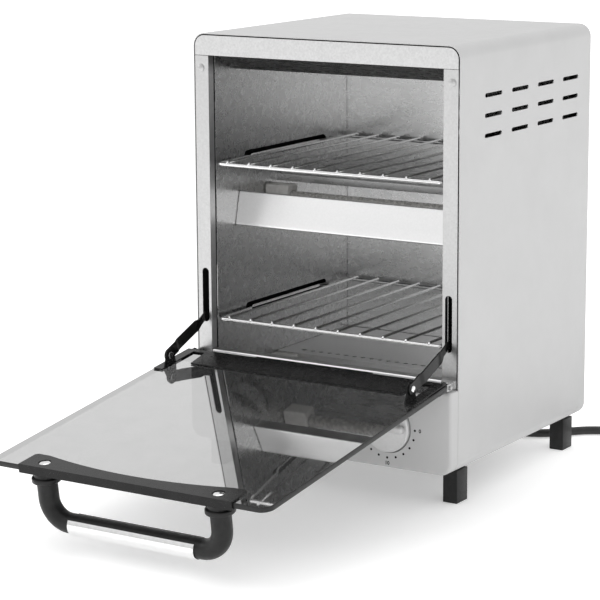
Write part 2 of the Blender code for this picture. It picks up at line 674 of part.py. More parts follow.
def knob_mesh():
    """Dished dial with a raised bar across it; its axis is the drawing's w, into the oven."""
    face = -KNOB_PROUD
    radius = KNOB_RADIUS
    disc = turned_mesh("knob", [(0.0, face + 1.2 * MM), (radius - 6 * MM, face + 0.8 * MM),
                                (radius - 2 * MM, face), (radius - 0.5 * MM, face + 0.3 * MM),
                                (radius, face + 1 * MM), (radius, face + KNOB_THICKNESS),
                                (0.0, face + KNOB_THICKNESS)], Matrix.Identity(4), 64)
    bar = box_mesh("bar", (-radius + 3 * MM, -3.2 * MM, face - KNOB_GRIP_HEIGHT + 3 * MM),
                   (radius - 3 * MM, 3.2 * MM, face + 2.5 * MM), 1.4 * MM)
    boss = turned_mesh("boss", [(0.0, face + 4 * MM), (7 * MM, face + 4 * MM),
                                (7 * MM, face + KNOB_THICKNESS + 4 * MM),
                                (0.0, face + KNOB_THICKNESS + 4 * MM)], Matrix.Identity(4), 32)
    bore_high = face + KNOB_THICKNESS + 6 * MM
    bore = turned_mesh("bore", [(0.0, shaft_start() - FIT), (SHAFT_RADIUS + FIT, shaft_start() - FIT),
                                (SHAFT_RADIUS + FIT, bore_high), (0.0, bore_high)],
                       Matrix.Identity(4), 24)
    solid = combine("knob", disc, [bar, boss], "UNION")
    return combine("knob", solid, [bore], "DIFFERENCE")


def shaft_start():
    return 1.5 * MM


def shaft_mesh():
    end = PANEL_DEPTH + 5 * MM
    return turned_mesh("shaft", [(0.0, shaft_start()), (SHAFT_RADIUS, shaft_start()),
                                 (SHAFT_RADIUS, end), (0.0, end)], Matrix.Identity(4), 24)


def unit_mesh(size, bevel):
    """Body of a switch behind the bracket, with a socket for its shaft."""
    front = PANEL_DEPTH + 1.5 * MM + FRAME_SHEET + FIT
    half_width, depth, half_height = size
    block = box_mesh("unit", (-half_width, -half_height, front), (half_width, half_height, front + depth),
                     bevel)
    end = PANEL_DEPTH + 5 * MM + FIT
    socket = turned_mesh("socket", [(0.0, front - 2 * MM), (SHAFT_RADIUS + FIT, front - 2 * MM),
                                    (SHAFT_RADIUS + FIT, end), (0.0, end)], Matrix.Identity(4), 24)
    return combine("unit", block, [socket], "DIFFERENCE")


def build_control(oven, name, x, unit_size, grip_turn, materials):
    """Knob, shaft and switch on one axis along +Y."""
    axis = make_empty(name + "_axis", oven, (x, -PANEL_DEPTH, KNOB_Z))
    turn = Matrix.Rotation(grip_turn, 4, "Y")
    frame = axes((1, 0, 0), (0, 0, 1), (0, 1, 0))
    knob = knob_mesh()
    knob.transform(turn @ frame)
    knob.flip_normals()
    add_object(name + "_knob", knob, axis, materials["knob"], True)
    shaft = shaft_mesh()
    shaft.transform(frame)
    shaft.flip_normals()
    add_object(name + "_shaft", shaft, axis, materials["steel"], True)
    unit = unit_mesh(unit_size, 1.5 * MM)
    unit.transform(frame)
    unit.flip_normals()
    add_object(name + "_unit", unit, axis, materials["ceramic"])


# ---------------------------------------------------------------- door
def door_view(n=0.0):
    """Drawing (x, along the door) with thickness along the door's inward normal."""
    return axes((1, 0, 0), (0, -1, 0), (0, 0, 1), (0, 0, n))


def glass_mesh():
    low = GLASS_TOP_FACE - GLASS_THICKNESS
    outline = rounded_rectangle(-GLASS_HALF_WIDTH, GLASS_NEAR, GLASS_HALF_WIDTH, GLASS_FAR,
                                1 * MM, GLASS_CORNER)
    return extrude_outline("door_glass", [outline], GLASS_THICKNESS, door_view(low))


def ear_x():
    return STRIP_SLOT_X - 2.1 * MM


def hinge_frame_outline():
    """Flat pattern of the black hinge frame: a wide strip, a raised middle and two side arms."""
    near, far, half = HINGE_STRIP_NEAR, HINGE_STRIP_FAR, HINGE_STRIP_HALF
    outer = GLASS_HALF_WIDTH - 1.5 * MM
    inner = ear_x() + DOOR_SHEET / 2
    right = [(52 * MM, near - 2 * MM), (53 * MM, near), (outer, near), (outer, HINGE_ARM_FAR),
             (inner, HINGE_ARM_FAR), (inner, near + 5 * MM), (half, near + 5 * MM),
             (half - 3 * MM, far)]
    left = [(-x, a) for x, a in reversed(right)]
    return right + left


def hinge_frame_mesh():
    plate_low = GLASS_TOP_FACE + FIT
    plate_high = plate_low + DOOR_SHEET
    near = HINGE_STRIP_NEAR
    under = GLASS_TOP_FACE - GLASS_THICKNESS - FIT - DOOR_SHEET
    outer = GLASS_HALF_WIDTH - 1.5 * MM
    flat = extrude_outline("hinge_frame", [hinge_frame_outline()], DOOR_SHEET, door_view(plate_low))
    web = box_mesh("web", (-outer, -near - DOOR_SHEET, under), (outer, -near, plate_high - 0.1 * MM))
    lower = box_mesh("lower", (-outer, -near - 11 * MM, under), (outer, -near - 0.1 * MM, under + DOOR_SHEET))
    pieces = [web, lower]
    for side in (-1, 1):
        pieces.append(ear_mesh(side, plate_low))
        pieces.append(door_lug_mesh(side, plate_high))
    return combine("hinge_frame", flat, pieces, "UNION")


def ear_mesh(side, low):
    """Upright tab that the link arm is riveted to."""
    outline = [(EAR_ALONG - EAR_RADIUS - 1 * MM, low), (EAR_ALONG + EAR_RADIUS + 4 * MM, low)]
    outline += arc((EAR_ALONG, EAR_ABOVE), EAR_RADIUS, 0, 180, 10)
    hole = circle(EAR_ALONG, EAR_ABOVE, LINK_PIN_RADIUS + 0.2 * MM, 16)
    x = side * ear_x() - DOOR_SHEET / 2
    frame = axes((0, -1, 0), (0, 0, 1), (1, 0, 0), (x, 0, 0))
    return extrude_outline("ear", [outline, hole], DOOR_SHEET, frame)


def door_lug_x():
    return lug_x() - 2.2 * MM


def door_lug_mesh(side, high):
    """Eye round the door axis, at each end of the hinge frame."""
    radius = 2.7 * MM
    outline = arc((0.0, 0.0), radius, 90, 270, 10)
    outline += [(HINGE_STRIP_NEAR + 0.5 * MM, -radius), (HINGE_STRIP_NEAR + 0.5 * MM, high - 0.2 * MM),
                (4 * MM, high - 0.2 * MM)]
    hole = circle(0.0, 0.0, PIN_RADIUS + FIT, 16)
    x = side * (door_lug_x() + 0.6 * MM) - 0.6 * MM
    frame = axes((0, -1, 0), (0, 0, 1), (1, 0, 0), (x, 0, 0))
    return extrude_outline("lug", [outline, hole], 1.2 * MM, frame)


def hinge_pin_mesh():
    """Shouldered pin, fixed in the frame's lug, that the door's eye turns on."""
    start = door_lug_x() - 1.6 * MM
    end = lug_x() + 2.4 * MM
    profile = [(0.0, start), (2.4 * MM, start), (2.4 * MM, start + 1.2 * MM),
               (PIN_RADIUS, start + 1.2 * MM), (PIN_RADIUS, end), (0.0, end)]
    frame = axes((0, 1, 0), (0, 0, 1), (1, 0, 0), (0, HINGE_Y, HINGE_Z))
    return turned_mesh("hinge_pin", profile, frame, 20)


def link_arm_mesh():
    """Flat arm from the ear, cranked upwards where it enters the frame's slot.

    The drawing's u runs from the pivot towards the slot, as the arm lies with the door open.
    """
    half = LINK_WIDTH / 2
    turn = LINK_HOOK_TURN
    knee = (LINK_REACH, 0.0)
    tip = (knee[0] + LINK_HOOK_LENGTH * math.cos(turn), knee[1] + LINK_HOOK_LENGTH * math.sin(turn))
    tip_half = LINK_TIP_WIDTH / 2
    turn_degrees = math.degrees(turn)
    outline = arc((0.0, 0.0), half, 90, 270, 10)
    outline += [(knee[0] + half * math.tan(turn / 2), -half)]
    outline += arc(tip, tip_half, turn_degrees - 90, turn_degrees + 90, 8)
    outline += [(knee[0] - half * math.tan(turn / 2), half)]
    hole = circle(0.0, 0.0, LINK_PIN_RADIUS + 0.2 * MM, 16)
    frame = axes((0, math.cos(LINK_RISE), math.sin(LINK_RISE)),
                 (0, -math.sin(LINK_RISE), math.cos(LINK_RISE)), (1, 0, 0), (link_x(), 0, 0))
    return extrude_outline("link_arm", [outline, hole], LINK_SHEET, frame)


def link_x():
    return ear_x() + DOOR_SHEET / 2 + FIT


def link_rivet_mesh():
    start = ear_x() - DOOR_SHEET / 2 - FIT - 0.4 * MM
    end = link_x() + LINK_SHEET + FIT
    profile = [(0.0, start), (2.6 * MM, start), (2.6 * MM, start + 0.4 * MM),
               (LINK_PIN_RADIUS, start + 0.4 * MM), (LINK_PIN_RADIUS, end), (2.8 * MM, end),
               (2.4 * MM, end + 0.6 * MM), (1.2 * MM, end + 0.9 * MM), (0.0, end + 0.9 * MM)]
    frame = axes((0, 1, 0), (0, 0, 1), (1, 0, 0), (0, -EAR_ALONG, EAR_ABOVE))
    return turned_mesh("link_rivet", profile, frame, 24)


def bracket_outline():
    """Plate on the glass: straight far edge, and a near edge that curves in between the ends."""
    far = GLASS_FAR + BRACKET_WRAP
    half = BRACKET_HALF
    corner = 3 * MM
    steps = 14
    points = [(-half, far), (-half, far - BRACKET_END_WIDTH + corner)]
    points += arc((-half + corner, far - BRACKET_END_WIDTH + corner), corner, 180, 270, 4)[1:]
    span = half - 12 * MM
    for i in range(steps + 1):
        x = -span + 2 * span * i / steps
        bow = 1 - (x / span) ** 2
        points.append((x, far - BRACKET_END_WIDTH + bow * (BRACKET_END_WIDTH - BRACKET_MIDDLE_WIDTH)))
    points += arc((half - corner, far - BRACKET_END_WIDTH + corner), corner, 270, 360, 4)
    points += [(half, far)]
    return points


def handle_bracket_mesh():
    """Channel folded over the glass's far edge; screws pass through its round holes."""
    plate_low = GLASS_TOP_FACE + FIT
    under = GLASS_TOP_FACE - GLASS_THICKNESS - FIT - DOOR_SHEET
    far = GLASS_FAR + BRACKET_WRAP
    loops = [bracket_outline()]
    for side in (-1, 1):
        loops.append(circle(side * HANDLE_SPAN, HANDLE_ALONG, SCREW_RADIUS + FIT, 24))
    top = extrude_outline("handle_bracket", loops, DOOR_SHEET, door_view(plate_low))
    web = box_mesh("web", (-BRACKET_HALF, -far, under), (BRACKET_HALF, -GLASS_FAR - FIT, plate_low + 0.5 * MM))
    lower = box_mesh("lower", (-BRACKET_HALF, -far + 0.2 * MM, under),
                     (BRACKET_HALF, -far + 18 * MM, under + DOOR_SHEET))
    return combine("handle_bracket", top, [web, lower], "UNION")


def handle_path():
    """Two legs away from the glass, bent into a bar that runs across the door."""
    top = GLASS_TOP_FACE - GLASS_THICKNESS - 2 * FIT - DOOR_SHEET
    low = GLASS_TOP_FACE - HANDLE_DROP
    right = [(HANDLE_SPAN, top)]
    right += arc((HANDLE_SPAN - HANDLE_BEND, low + HANDLE_BEND), HANDLE_BEND, 0, -90, 8)
    flat = right + [(-x, n) for x, n in reversed(right)]
    return [(x, -HANDLE_ALONG, n) for x, n in flat]


def handle_mesh():
    bar = curve_mesh("handle", handle_path(), HANDLE_RADIUS, False, 4)
    top = GLASS_TOP_FACE - GLASS_THICKNESS - 2 * FIT - DOOR_SHEET - 0.01 * MM
    collar = [(0.0, top), (8.6 * MM, top), (8.6 * MM, top - 3 * MM), (10.6 * MM, top - 3.4 * MM),
              (10.6 * MM, top - 6.6 * MM), (8.2 * MM, top - 7.6 * MM), (0.0, top - 7.6 * MM)]
    collars = []
    for side in (-1, 1):
        frame = Matrix.Translation((side * HANDLE_SPAN, -HANDLE_ALONG, 0))
        collars.append(turned_mesh("collar", collar, frame, 32))
    return combine("handle", bar, collars, "UNION")


def sleeve_mesh():
    """Bright cover that wraps the bar and leaves a strip bare on the side facing the door."""
    inner = HANDLE_RADIUS + FIT
    outer = inner + SLEEVE_SHEET
    open_half = math.degrees(SLEEVE_OPEN_HALF_ANGLE)
    outline = arc((0, 0), outer, 90 + open_half, 450 - open_half, 28)
    outline += arc((0, 0), inner, 450 - open_half, 90 + open_half, 28)
    frame = axes((0, 1, 0), (0, 0, 1), (1, 0, 0),
                 (-SLEEVE_HALF, -HANDLE_ALONG, GLASS_TOP_FACE - HANDLE_DROP))
    return extrude_outline("handle_sleeve", [outline], 2 * SLEEVE_HALF, frame)


def handle_screw_mesh():
    top = GLASS_TOP_FACE + FIT
    frame = Matrix.Translation((HANDLE_SPAN, -HANDLE_ALONG, 0))
    profile = [(0.0, top + 0.9 * MM), (SCREW_RADIUS - 1 * MM, top + 0.9 * MM),
               (SCREW_RADIUS, top + 0.4 * MM), (SCREW_RADIUS, top), (0.0, top)]
    return turned_mesh("handle_screw", profile, frame, 24)


def build_door(oven, materials):
    door = make_empty("door_axis", oven, (0, HINGE_Y, HINGE_Z), DOOR_OPEN_SAG)
    black = materials["black_paint"]
    add_object("door_glass", glass_mesh(), door, materials["mirror_glass"])
    add_object("hinge_frame", hinge_frame_mesh(), door, black)
    add_object("handle_bracket", handle_bracket_mesh(), door, black)
    add_object("handle_tube", handle_mesh(), door, materials["black_plastic"], True)
    add_object("handle_sleeve", sleeve_mesh(), door, materials["chrome"], True)
    place_pair("handle_screw", handle_screw_mesh(), door, materials["chrome"], True)
    place_pair("link_rivet", link_rivet_mesh(), door, materials["chrome"], True)
    place_pair("hinge_pin", hinge_pin_mesh(), oven, materials["steel"], True)
    for side, mesh in (("right", link_arm_mesh()), ("left", mirrored(link_arm_mesh()))):
        pivot = make_empty("link_axis_" + side, door, (0, -EAR_ALONG, EAR_ABOVE), -DOOR_OPEN_SAG)
        add_object("link_arm_" + side, mesh, pivot, black)


# ---------------------------------------------------------------- cord
def gland_mesh():
    profile = [(0.0, -3 * MM), (5 * MM, -3 * MM), (5 * MM, FIT), (7.5 * MM, FIT), (7.5 * MM, 3 * MM),
               (5.4 * MM, 3.6 * MM), (4.6 * MM, GLAND_LENGTH), (0.0, GLAND_LENGTH)]
    frame = axes((1, 0, 0), (0, 0, 1), (0, 1, 0), (GLAND_X, DEPTH, GLAND_Z))
    return turned_mesh("cord_gland", profile, frame, 32)


def cord_route():
    """Hand-chosen places of the cord's middle line, from the gland to the coil.

    Each is (x, behind the back panel, above the floor) in millimetres.
    """
    rest = CORD_RADIUS / MM + 0.2
    gland_end = (GLAND_X / MM, GLAND_LENGTH / MM + 1.3, (GLAND_Z - FLOOR) / MM)
    places = [gland_end, (-41.7, 33.3, 37.9), (-35.8, 42.7, 34.9), (-28.2, 49.4, 30.1),
              (-18.7, 52.8, 24.6), (-8.8, 52.6, 18.9), (0.7, 49, 13.4), (8.9, 42.4, 8.9),
              (15.3, 33.5, 5.5), (19.8, 23, rest), (25.3, 12.9, rest), (33.2, 4.5, rest),
              (43.5, -1.3, rest), (55.5, -4, rest), (68, -2.8, rest), (79.5, 2.6, rest),
              (88.5, 11, rest), (96.8, 20, rest), (106, 29, rest), (117.5, 36, rest),
              (130, 41, rest), (143, 46, rest), (157, 51.3, rest), (171, 55.6, rest)]
    return [Vector((x * MM, DEPTH + back * MM, FLOOR + up * MM)) for x, back, up in places]


def smooth_through(points, steps):
    """Catmull-Rom curve through the route's points."""
    ends = [2 * points[0] - points[1]] + points + [2 * points[-1] - points[-2]]
    result = []
    for i in range(1, len(ends) - 2):
        before, start, end, after = ends[i - 1:i + 3]
        for step in range(steps):
            t = step / steps
            along = (end - before) * t
            bend = (2 * before - 5 * start + 4 * end - after) * t * t
            twist = (3 * start - before - 3 * end + after) * t * t * t
            result.append(start + (along + bend + twist) / 2)
    result.append(points[-1])
    return result


def coil_mesh():
    """Outer shape of the coiled length: a ring of two by two turns lying on the floor."""
    half = COIL_TURNS_ACROSS * CORD_RADIUS + 0.2 * MM
    low = FLOOR + 0.1 * MM
    high = low + 2 * half
    edge = 2.5 * MM
    inner, outer = COIL_RADIUS - half, COIL_RADIUS + half
    profile = [(inner + edge, low), (outer - edge, low), (outer, low + edge), (outer, high - edge),
               (outer - edge, high), (inner + edge, high), (inner, high - edge), (inner, low + edge)]
    frame = Matrix.Translation((COIL_CENTRE[0], COIL_CENTRE[1], 0))
    return turned_mesh("cord_coil", profile, frame, 48, True)


def plug_parts():
    """Plug that points along -Y from the end of the coil's last turn."""
    x = COIL_CENTRE[0] + COIL_RADIUS
    y = COIL_CENTRE[1] - 36 * MM
    z = FLOOR + 9 * MM
    boot_frame = axes((1, 0, 0), (0, 0, 1), (0, -1, 0), (x, y, z))
    boot = turned_mesh("boot", [(0.0, 0.0), (4.4 * MM, 0.0), (5.6 * MM, 14 * MM), (0.0, 14 * MM)],
                       boot_frame, 24)
    body_low = (x - 12 * MM, y - 38 * MM, z - 8.5 * MM)
    body_high = (x + 12 * MM, y - 13 * MM, z + 8.5 * MM)
    body = combine("plug", box_mesh("plug", body_low, body_high, 3.5 * MM), [boot], "UNION")
    blade_low = (x - 6.35 * MM - 0.75 * MM, y - 38 * MM - FIT - 17 * MM, z - 3.2 * MM)
    blade_high = (x - 6.35 * MM + 0.75 * MM, y - 38 * MM - FIT, z + 3.2 * MM)
    blade = box_mesh("blade", blade_low, blade_high)
    second = blade.copy()
    second.transform(Matrix.Translation((12.7 * MM, 0, 0)))
    return body, blade, second


def build_cord(oven, materials):
    rubber = materials["rubber"]
    add_object("cord_gland", gland_mesh(), oven, rubber, True)
    cord = curve_data("cord", smooth_through(cord_route(), 3), CORD_RADIUS, False, 2)
    add_object("cord", cord, oven, None).data.materials.append(rubber)
    add_object("cord_coil", coil_mesh(), oven, rubber, True)
    body, first, second = plug_parts()
    add_object("plug", body, oven, rubber)
    add_object("plug_blade_left", first, oven, materials["steel"])
    add_object("plug_blade_right", second, oven, materials["steel"])


# ---------------------------------------------------------------- assembly
def build_body(oven, materials):
    white, bare, steel = materials["white_paint"], materials["galvanised"], materials["steel"]
    add_object("casing", casing_mesh(), oven, white, True)
    add_object("base_plate", base_plate_mesh(), oven, bare)
    add_object("back_panel", back_panel_mesh(), oven, bare)
    build_feet(oven, materials["black_plastic"])
    place_pair("front_strip", side_strip_mesh(), oven, bare)
    place_pair("strip_rivet", rivet_mesh(), oven, steel, True)
    add_object("top_strip", top_strip_mesh(), oven, bare)
    add_object("front_threshold", threshold_mesh(), oven, bare)
    add_object("control_panel", panel_mesh(), oven, white, True)
    add_object("control_bracket", control_bracket_mesh(), oven, bare)


def build_cavity(oven, materials):
    bare, chrome = materials["galvanised"], materials["chrome"]
    place_pair("cavity_wall", side_wall_mesh(), oven, bare)
    add_object("cavity_back", cavity_back_mesh(), oven, bare)
    add_object("cavity_ceiling", cavity_sheet_mesh("cavity_ceiling", CAVITY_TOP + FIT), oven, bare)
    add_object("cavity_floor", cavity_floor_mesh(), oven, bare)
    guard = sloped_sheet_mesh("top_guard", TOP_GUARD_FRONT, TOP_GUARD_BACK, LINER_SHEET)
    add_object("top_guard", guard, oven, bare)
    add_object("middle_guard", middle_guard_mesh(), oven, bare)
    for name, level in FLOOR_PLATE_LEVELS.items():
        add_object(name, floor_plate_mesh(name, level), oven, bare)
    for name, level in RACK_LEVELS.items():
        add_object(name, rack_mesh(name, level), oven, chrome, True)
    for name, level in HEATER_LEVELS.items():
        build_heater(oven, name, level, materials)


def main():
    clear_scene()
    materials = make_materials()
    oven = make_empty("oven", None, (0, FRONT_Y, FOOT_HEIGHT))
    build_body(oven, materials)
    build_cavity(oven, materials)
    build_control(oven, "timer", KNOB_X, (17 * MM, 26 * MM, 15 * MM), 0.0, materials)
    build_control(oven, "selector", -KNOB_X, (13 * MM, 22 * MM, 12 * MM), math.radians(31), materials)
    build_door(oven, materials)
    build_cord(oven, materials)


main()
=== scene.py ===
"""Looks of the two-tier toaster oven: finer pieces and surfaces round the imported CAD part.

Two frames are used. OVEN has its origin on the front face of the front strips, in the middle,
level with the casing's underside, with Y into the oven. DOOR lies in the open door, on the hinge
axis. Everything is in metres, and MM turns millimetres into them.
"""

import json
import math

import bmesh
import bpy
from mathutils import Matrix, Vector


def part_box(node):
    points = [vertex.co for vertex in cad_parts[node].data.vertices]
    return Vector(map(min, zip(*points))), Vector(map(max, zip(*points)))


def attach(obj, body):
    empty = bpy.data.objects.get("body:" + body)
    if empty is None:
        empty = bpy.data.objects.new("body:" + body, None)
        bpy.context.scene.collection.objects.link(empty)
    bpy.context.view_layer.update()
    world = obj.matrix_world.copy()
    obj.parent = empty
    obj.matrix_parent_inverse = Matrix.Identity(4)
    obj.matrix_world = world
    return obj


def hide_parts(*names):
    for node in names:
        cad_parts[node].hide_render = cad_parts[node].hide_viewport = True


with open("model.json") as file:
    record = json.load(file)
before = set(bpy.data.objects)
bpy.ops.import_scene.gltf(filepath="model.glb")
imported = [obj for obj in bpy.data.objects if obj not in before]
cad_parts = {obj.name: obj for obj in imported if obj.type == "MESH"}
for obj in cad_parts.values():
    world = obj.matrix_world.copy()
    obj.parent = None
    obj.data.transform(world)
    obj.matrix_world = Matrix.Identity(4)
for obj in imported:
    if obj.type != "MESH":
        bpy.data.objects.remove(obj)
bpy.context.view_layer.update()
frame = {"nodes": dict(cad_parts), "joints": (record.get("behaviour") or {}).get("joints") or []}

MM = 0.001
NODES = frame["nodes"]
JOINTS = {joint["name"]: Vector(joint["pos_m"]) for joint in frame["joints"]}

# ---------------------------------------------------------------- sizes, from the frame
FIT = 0.3 * MM
CASING_LOW, CASING_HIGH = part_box("casing")
HEIGHT = CASING_HIGH.z - CASING_LOW.z
FRONT_Y = CASING_LOW.y - FIT
DEPTH = CASING_HIGH.y - FRONT_Y
FOOT_HEIGHT = CASING_LOW.z
OVEN = Matrix.Translation((0, FRONT_Y, FOOT_HEIGHT))
DOOR_SAG = math.radians(7.65)
DOOR = Matrix.Translation(JOINTS["door_hinge"]) @ Matrix.Rotation(DOOR_SAG, 4, "X")


# ---------------------------------------------------------------- camera
def build_camera():
    data = bpy.data.cameras.new("camera")
    data.sensor_width = 36
    data.lens = 139.71
    data.clip_start = 0.05
    data.clip_end = 50
    camera = bpy.data.objects.new("camera", data)
    camera.location = (0.9224, -1.4622, 0.5013)
    camera.rotation_euler = [math.radians(angle) for angle in (78.467, 0.363, 32.565)]
    bpy.context.collection.objects.link(camera)
    bpy.context.scene.camera = camera


# ---------------------------------------------------------------- material nodes
class Surface:
    """A Principled material under construction, patterned in the object's own coordinates."""

    def __init__(self, name, **values):
        self.material = bpy.data.materials.new(name)
        self.material.use_nodes = True
        self.tree = self.material.node_tree
        self.tree.nodes.clear()
        output = self.add("OutputMaterial")
        self.shader = self.add("BsdfPrincipled")
        self.link(self.shader.outputs["BSDF"], output.inputs["Surface"])
        self.place = self.add("TexCoord").outputs["Object"]
        for key, value in values.items():
            self.shader.inputs[key.replace("_", " ")].default_value = value

    def add(self, kind, **values):
        node = self.tree.nodes.new("ShaderNode" + kind)
        for key, value in values.items():
            node.inputs[key.replace("_", " ")].default_value = value
        return node

    def link(self, source, target):
        self.tree.links.new(source, target)

    def stretched(self, scale):
        mapping = self.add("Mapping", Scale=scale)
        self.link(self.place, mapping.inputs["Vector"])
        return mapping.outputs["Vector"]

    def noise(self, scale, detail=3.0, stretch=None):
        node = self.add("TexNoise", Scale=scale, Detail=detail)
        self.link(self.stretched(stretch) if stretch else self.place, node.inputs["Vector"])
        return node.outputs["Fac"]

    def ranged(self, source, low, high, start=0.3, end=0.7):
        node = self.add("MapRange", From_Min=start, From_Max=end, To_Min=low, To_Max=high)
        self.link(source, node.inputs["Value"])
        return node.outputs["Result"]

    def blend(self, source, dark, light, start=0.3, end=0.7):
        ramp = self.add("ValToRGB")
        ramp.color_ramp.elements[0].position = start
        ramp.color_ramp.elements[0].color = (*dark, 1)
        ramp.color_ramp.elements[1].position = end
        ramp.color_ramp.elements[1].color = (*light, 1)
        self.link(source, ramp.inputs["Fac"])
        return ramp.outputs["Color"]

    def colour(self, source, dark, light, start=0.3, end=0.7):
        self.link(self.blend(source, dark, light, start, end), self.shader.inputs["Base Color"])

    def rough(self, source, low, high):
        self.link(self.ranged(source, low, high), self.shader.inputs["Roughness"])

    def bump(self, source, depth):
        node = self.add("Bump", Strength=1.0, Distance=depth)
        self.link(source, node.inputs["Height"])
        before = self.shader.inputs["Normal"].links
        if before:
            self.link(before[0].from_socket, node.inputs["Normal"])
        self.link(node.outputs["Normal"], self.shader.inputs["Normal"])


def grey(value):
    return (value, value, value)


def white_paint():
    s = Surface("white_paint", Metallic=0.0, IOR=1.5)
    s.colour(s.noise(30, 4), grey(0.515), grey(0.535))
    s.rough(s.noise(140, 4), 0.38, 0.46)
    s.bump(s.noise(1400, 2), 0.012 * MM)
    return s.material


def bare_sheet(name, dark, light, rough, stretch, grain=0.004):
    """Aluminised sheet: rolled grain, a fine mottle and a soft sheen."""
    s = Surface(name, Metallic=1.0)
    s.colour(s.noise(700, 6), grey(dark), grey(light))
    s.rough(s.noise(200, 4, stretch), rough - 0.02, rough + 0.03)
    s.bump(s.noise(1500, 3, stretch), grain * MM)
    return s.material


def painted_shade_inside():
    # Near-black painted shade for inward faces that lie in shadow.
    s = Surface("painted_shade_inside", Metallic=0.0, Specular_IOR_Level=0.2)
    s.colour(s.noise(90, 3), grey(0.012), grey(0.02))
    s.rough(s.noise(200, 3), 0.6, 0.75)
    return s.material


def black_gloss():
    s = Surface("black_gloss", Metallic=0.0, IOR=1.5, Specular_IOR_Level=0.18)
    s.colour(s.noise(120, 3), grey(0.004), grey(0.008))
    s.rough(s.noise(300, 4), 0.14, 0.2)
    s.bump(s.noise(60, 3, (1, 0.1, 0.1)), 0.05 * MM)
    return s.material


def chrome():
    s = Surface("chrome", Metallic=1.0)
    s.colour(s.noise(300, 3), grey(0.78), grey(0.86))
    s.rough(s.noise(500, 3), 0.08, 0.16)
    s.bump(s.noise(900, 2), 0.004 * MM)
    return s.material


def dull_steel():
    s = Surface("dull_steel", Metallic=1.0)
    s.colour(s.noise(600, 4), grey(0.42), grey(0.55))
    s.rough(s.noise(400, 4), 0.3, 0.42)
    s.bump(s.noise(1200, 2), 0.01 * MM)
    return s.material


def black_paint():
    s = Surface("black_paint", Metallic=0.0, IOR=1.5, Specular_IOR_Level=0.22)
    s.colour(s.noise(120, 3), grey(0.006), grey(0.011))
    s.rough(s.noise(300, 4), 0.2, 0.3)
    s.bump(s.noise(1100, 2), 0.008 * MM)
    return s.material


def black_plastic():
    s = Surface("black_plastic", Metallic=0.0, IOR=1.5, Specular_IOR_Level=0.28)
    s.colour(s.noise(200, 3), grey(0.008), grey(0.014))
    s.rough(s.noise(500, 4), 0.34, 0.46)
    s.bump(s.noise(2200, 3), 0.02 * MM)
    return s.material


def rubber():
    s = Surface("rubber", Metallic=0.0, IOR=1.48)
    s.colour(s.noise(260, 3), grey(0.012), grey(0.022))
    s.rough(s.noise(300, 4), 0.42, 0.55)
    s.bump(s.noise(1600, 3), 0.015 * MM)
    return s.material


def ceramic():
    s = Surface("ceramic", Metallic=0.0, IOR=1.5)
    s.colour(s.noise(350, 5), (0.62, 0.61, 0.59), (0.74, 0.73, 0.71))
    s.rough(s.noise(300, 4), 0.5, 0.65)
    s.bump(s.noise(900, 4), 0.05 * MM)
    return s.material


def quartz():
    s = Surface("quartz", Metallic=0.0, IOR=1.46, Transmission_Weight=0.35)
    s.colour(s.noise(120, 3), (0.55, 0.54, 0.52), (0.7, 0.69, 0.67))
    s.rough(s.noise(300, 3), 0.2, 0.35)
    s.bump(s.noise(700, 2), 0.01 * MM)
    return s.material


def knob_finish():
    s = Surface("knob_finish", Metallic=0.35, IOR=1.5)
    s.colour(s.noise(400, 3), grey(0.62), grey(0.66))
    s.rough(s.noise(300, 4), 0.3, 0.38)
    s.bump(s.noise(1500, 2), 0.006 * MM)
    return s.material


def mirror_film():
    """Half-mirror coating on the glass face that looks into the oven."""
    s = Surface("mirror_film", Metallic=1.0, Alpha=0.935)
    s.colour(s.noise(60, 2), grey(0.6), grey(0.62))
    s.rough(s.noise(200, 2), 0.015, 0.03)
    return s.material


def glass_edge():
    s = Surface("glass_edge", Metallic=0.0, IOR=1.5, Specular_IOR_Level=0.3)
    s.colour(s.noise(300, 3), grey(0.01), grey(0.018))
    s.rough(s.noise(600, 4), 0.25, 0.4)
    s.bump(s.noise(1500, 3), 0.02 * MM)
    return s.material


def glass_under():
    """Clear lower face of the door glass: lets the film's light through."""
    s = Surface("glass_under", Metallic=0.0, IOR=1.5, Alpha=0.12)
    s.colour(s.noise(60, 2), grey(0.02), grey(0.03))
    s.rough(s.noise(200, 2), 0.02, 0.04)
    return s.material


def print_ink():
    s = Surface("print_ink", Metallic=0.0, Specular_IOR_Level=0.1)
    s.colour(s.noise(800, 2), grey(0.003), grey(0.006))
    s.rough(s.noise(600, 2), 0.45, 0.6)
    return s.material


def floor_paper():
    """White paper that glows more away from the oven, so that only a near shadow shows."""
    s = Surface("floor_paper", Metallic=0.0, Specular_IOR_Level=0.1)
    s.colour(s.noise(3, 2), grey(0.9), grey(0.92))
    s.shader.inputs["Emission Color"].default_value = (1, 1, 1, 1)
    distance = s.add("VectorMath")
    distance.operation = "LENGTH"
    s.link(s.place, distance.inputs[0])
    glow = s.ranged(distance.outputs["Value"], 0.24, 0.5, 0.13, 0.3)
    s.link(glow, s.shader.inputs["Emission Strength"])
    s.rough(s.noise(8, 2), 0.7, 0.8)
    return s.material


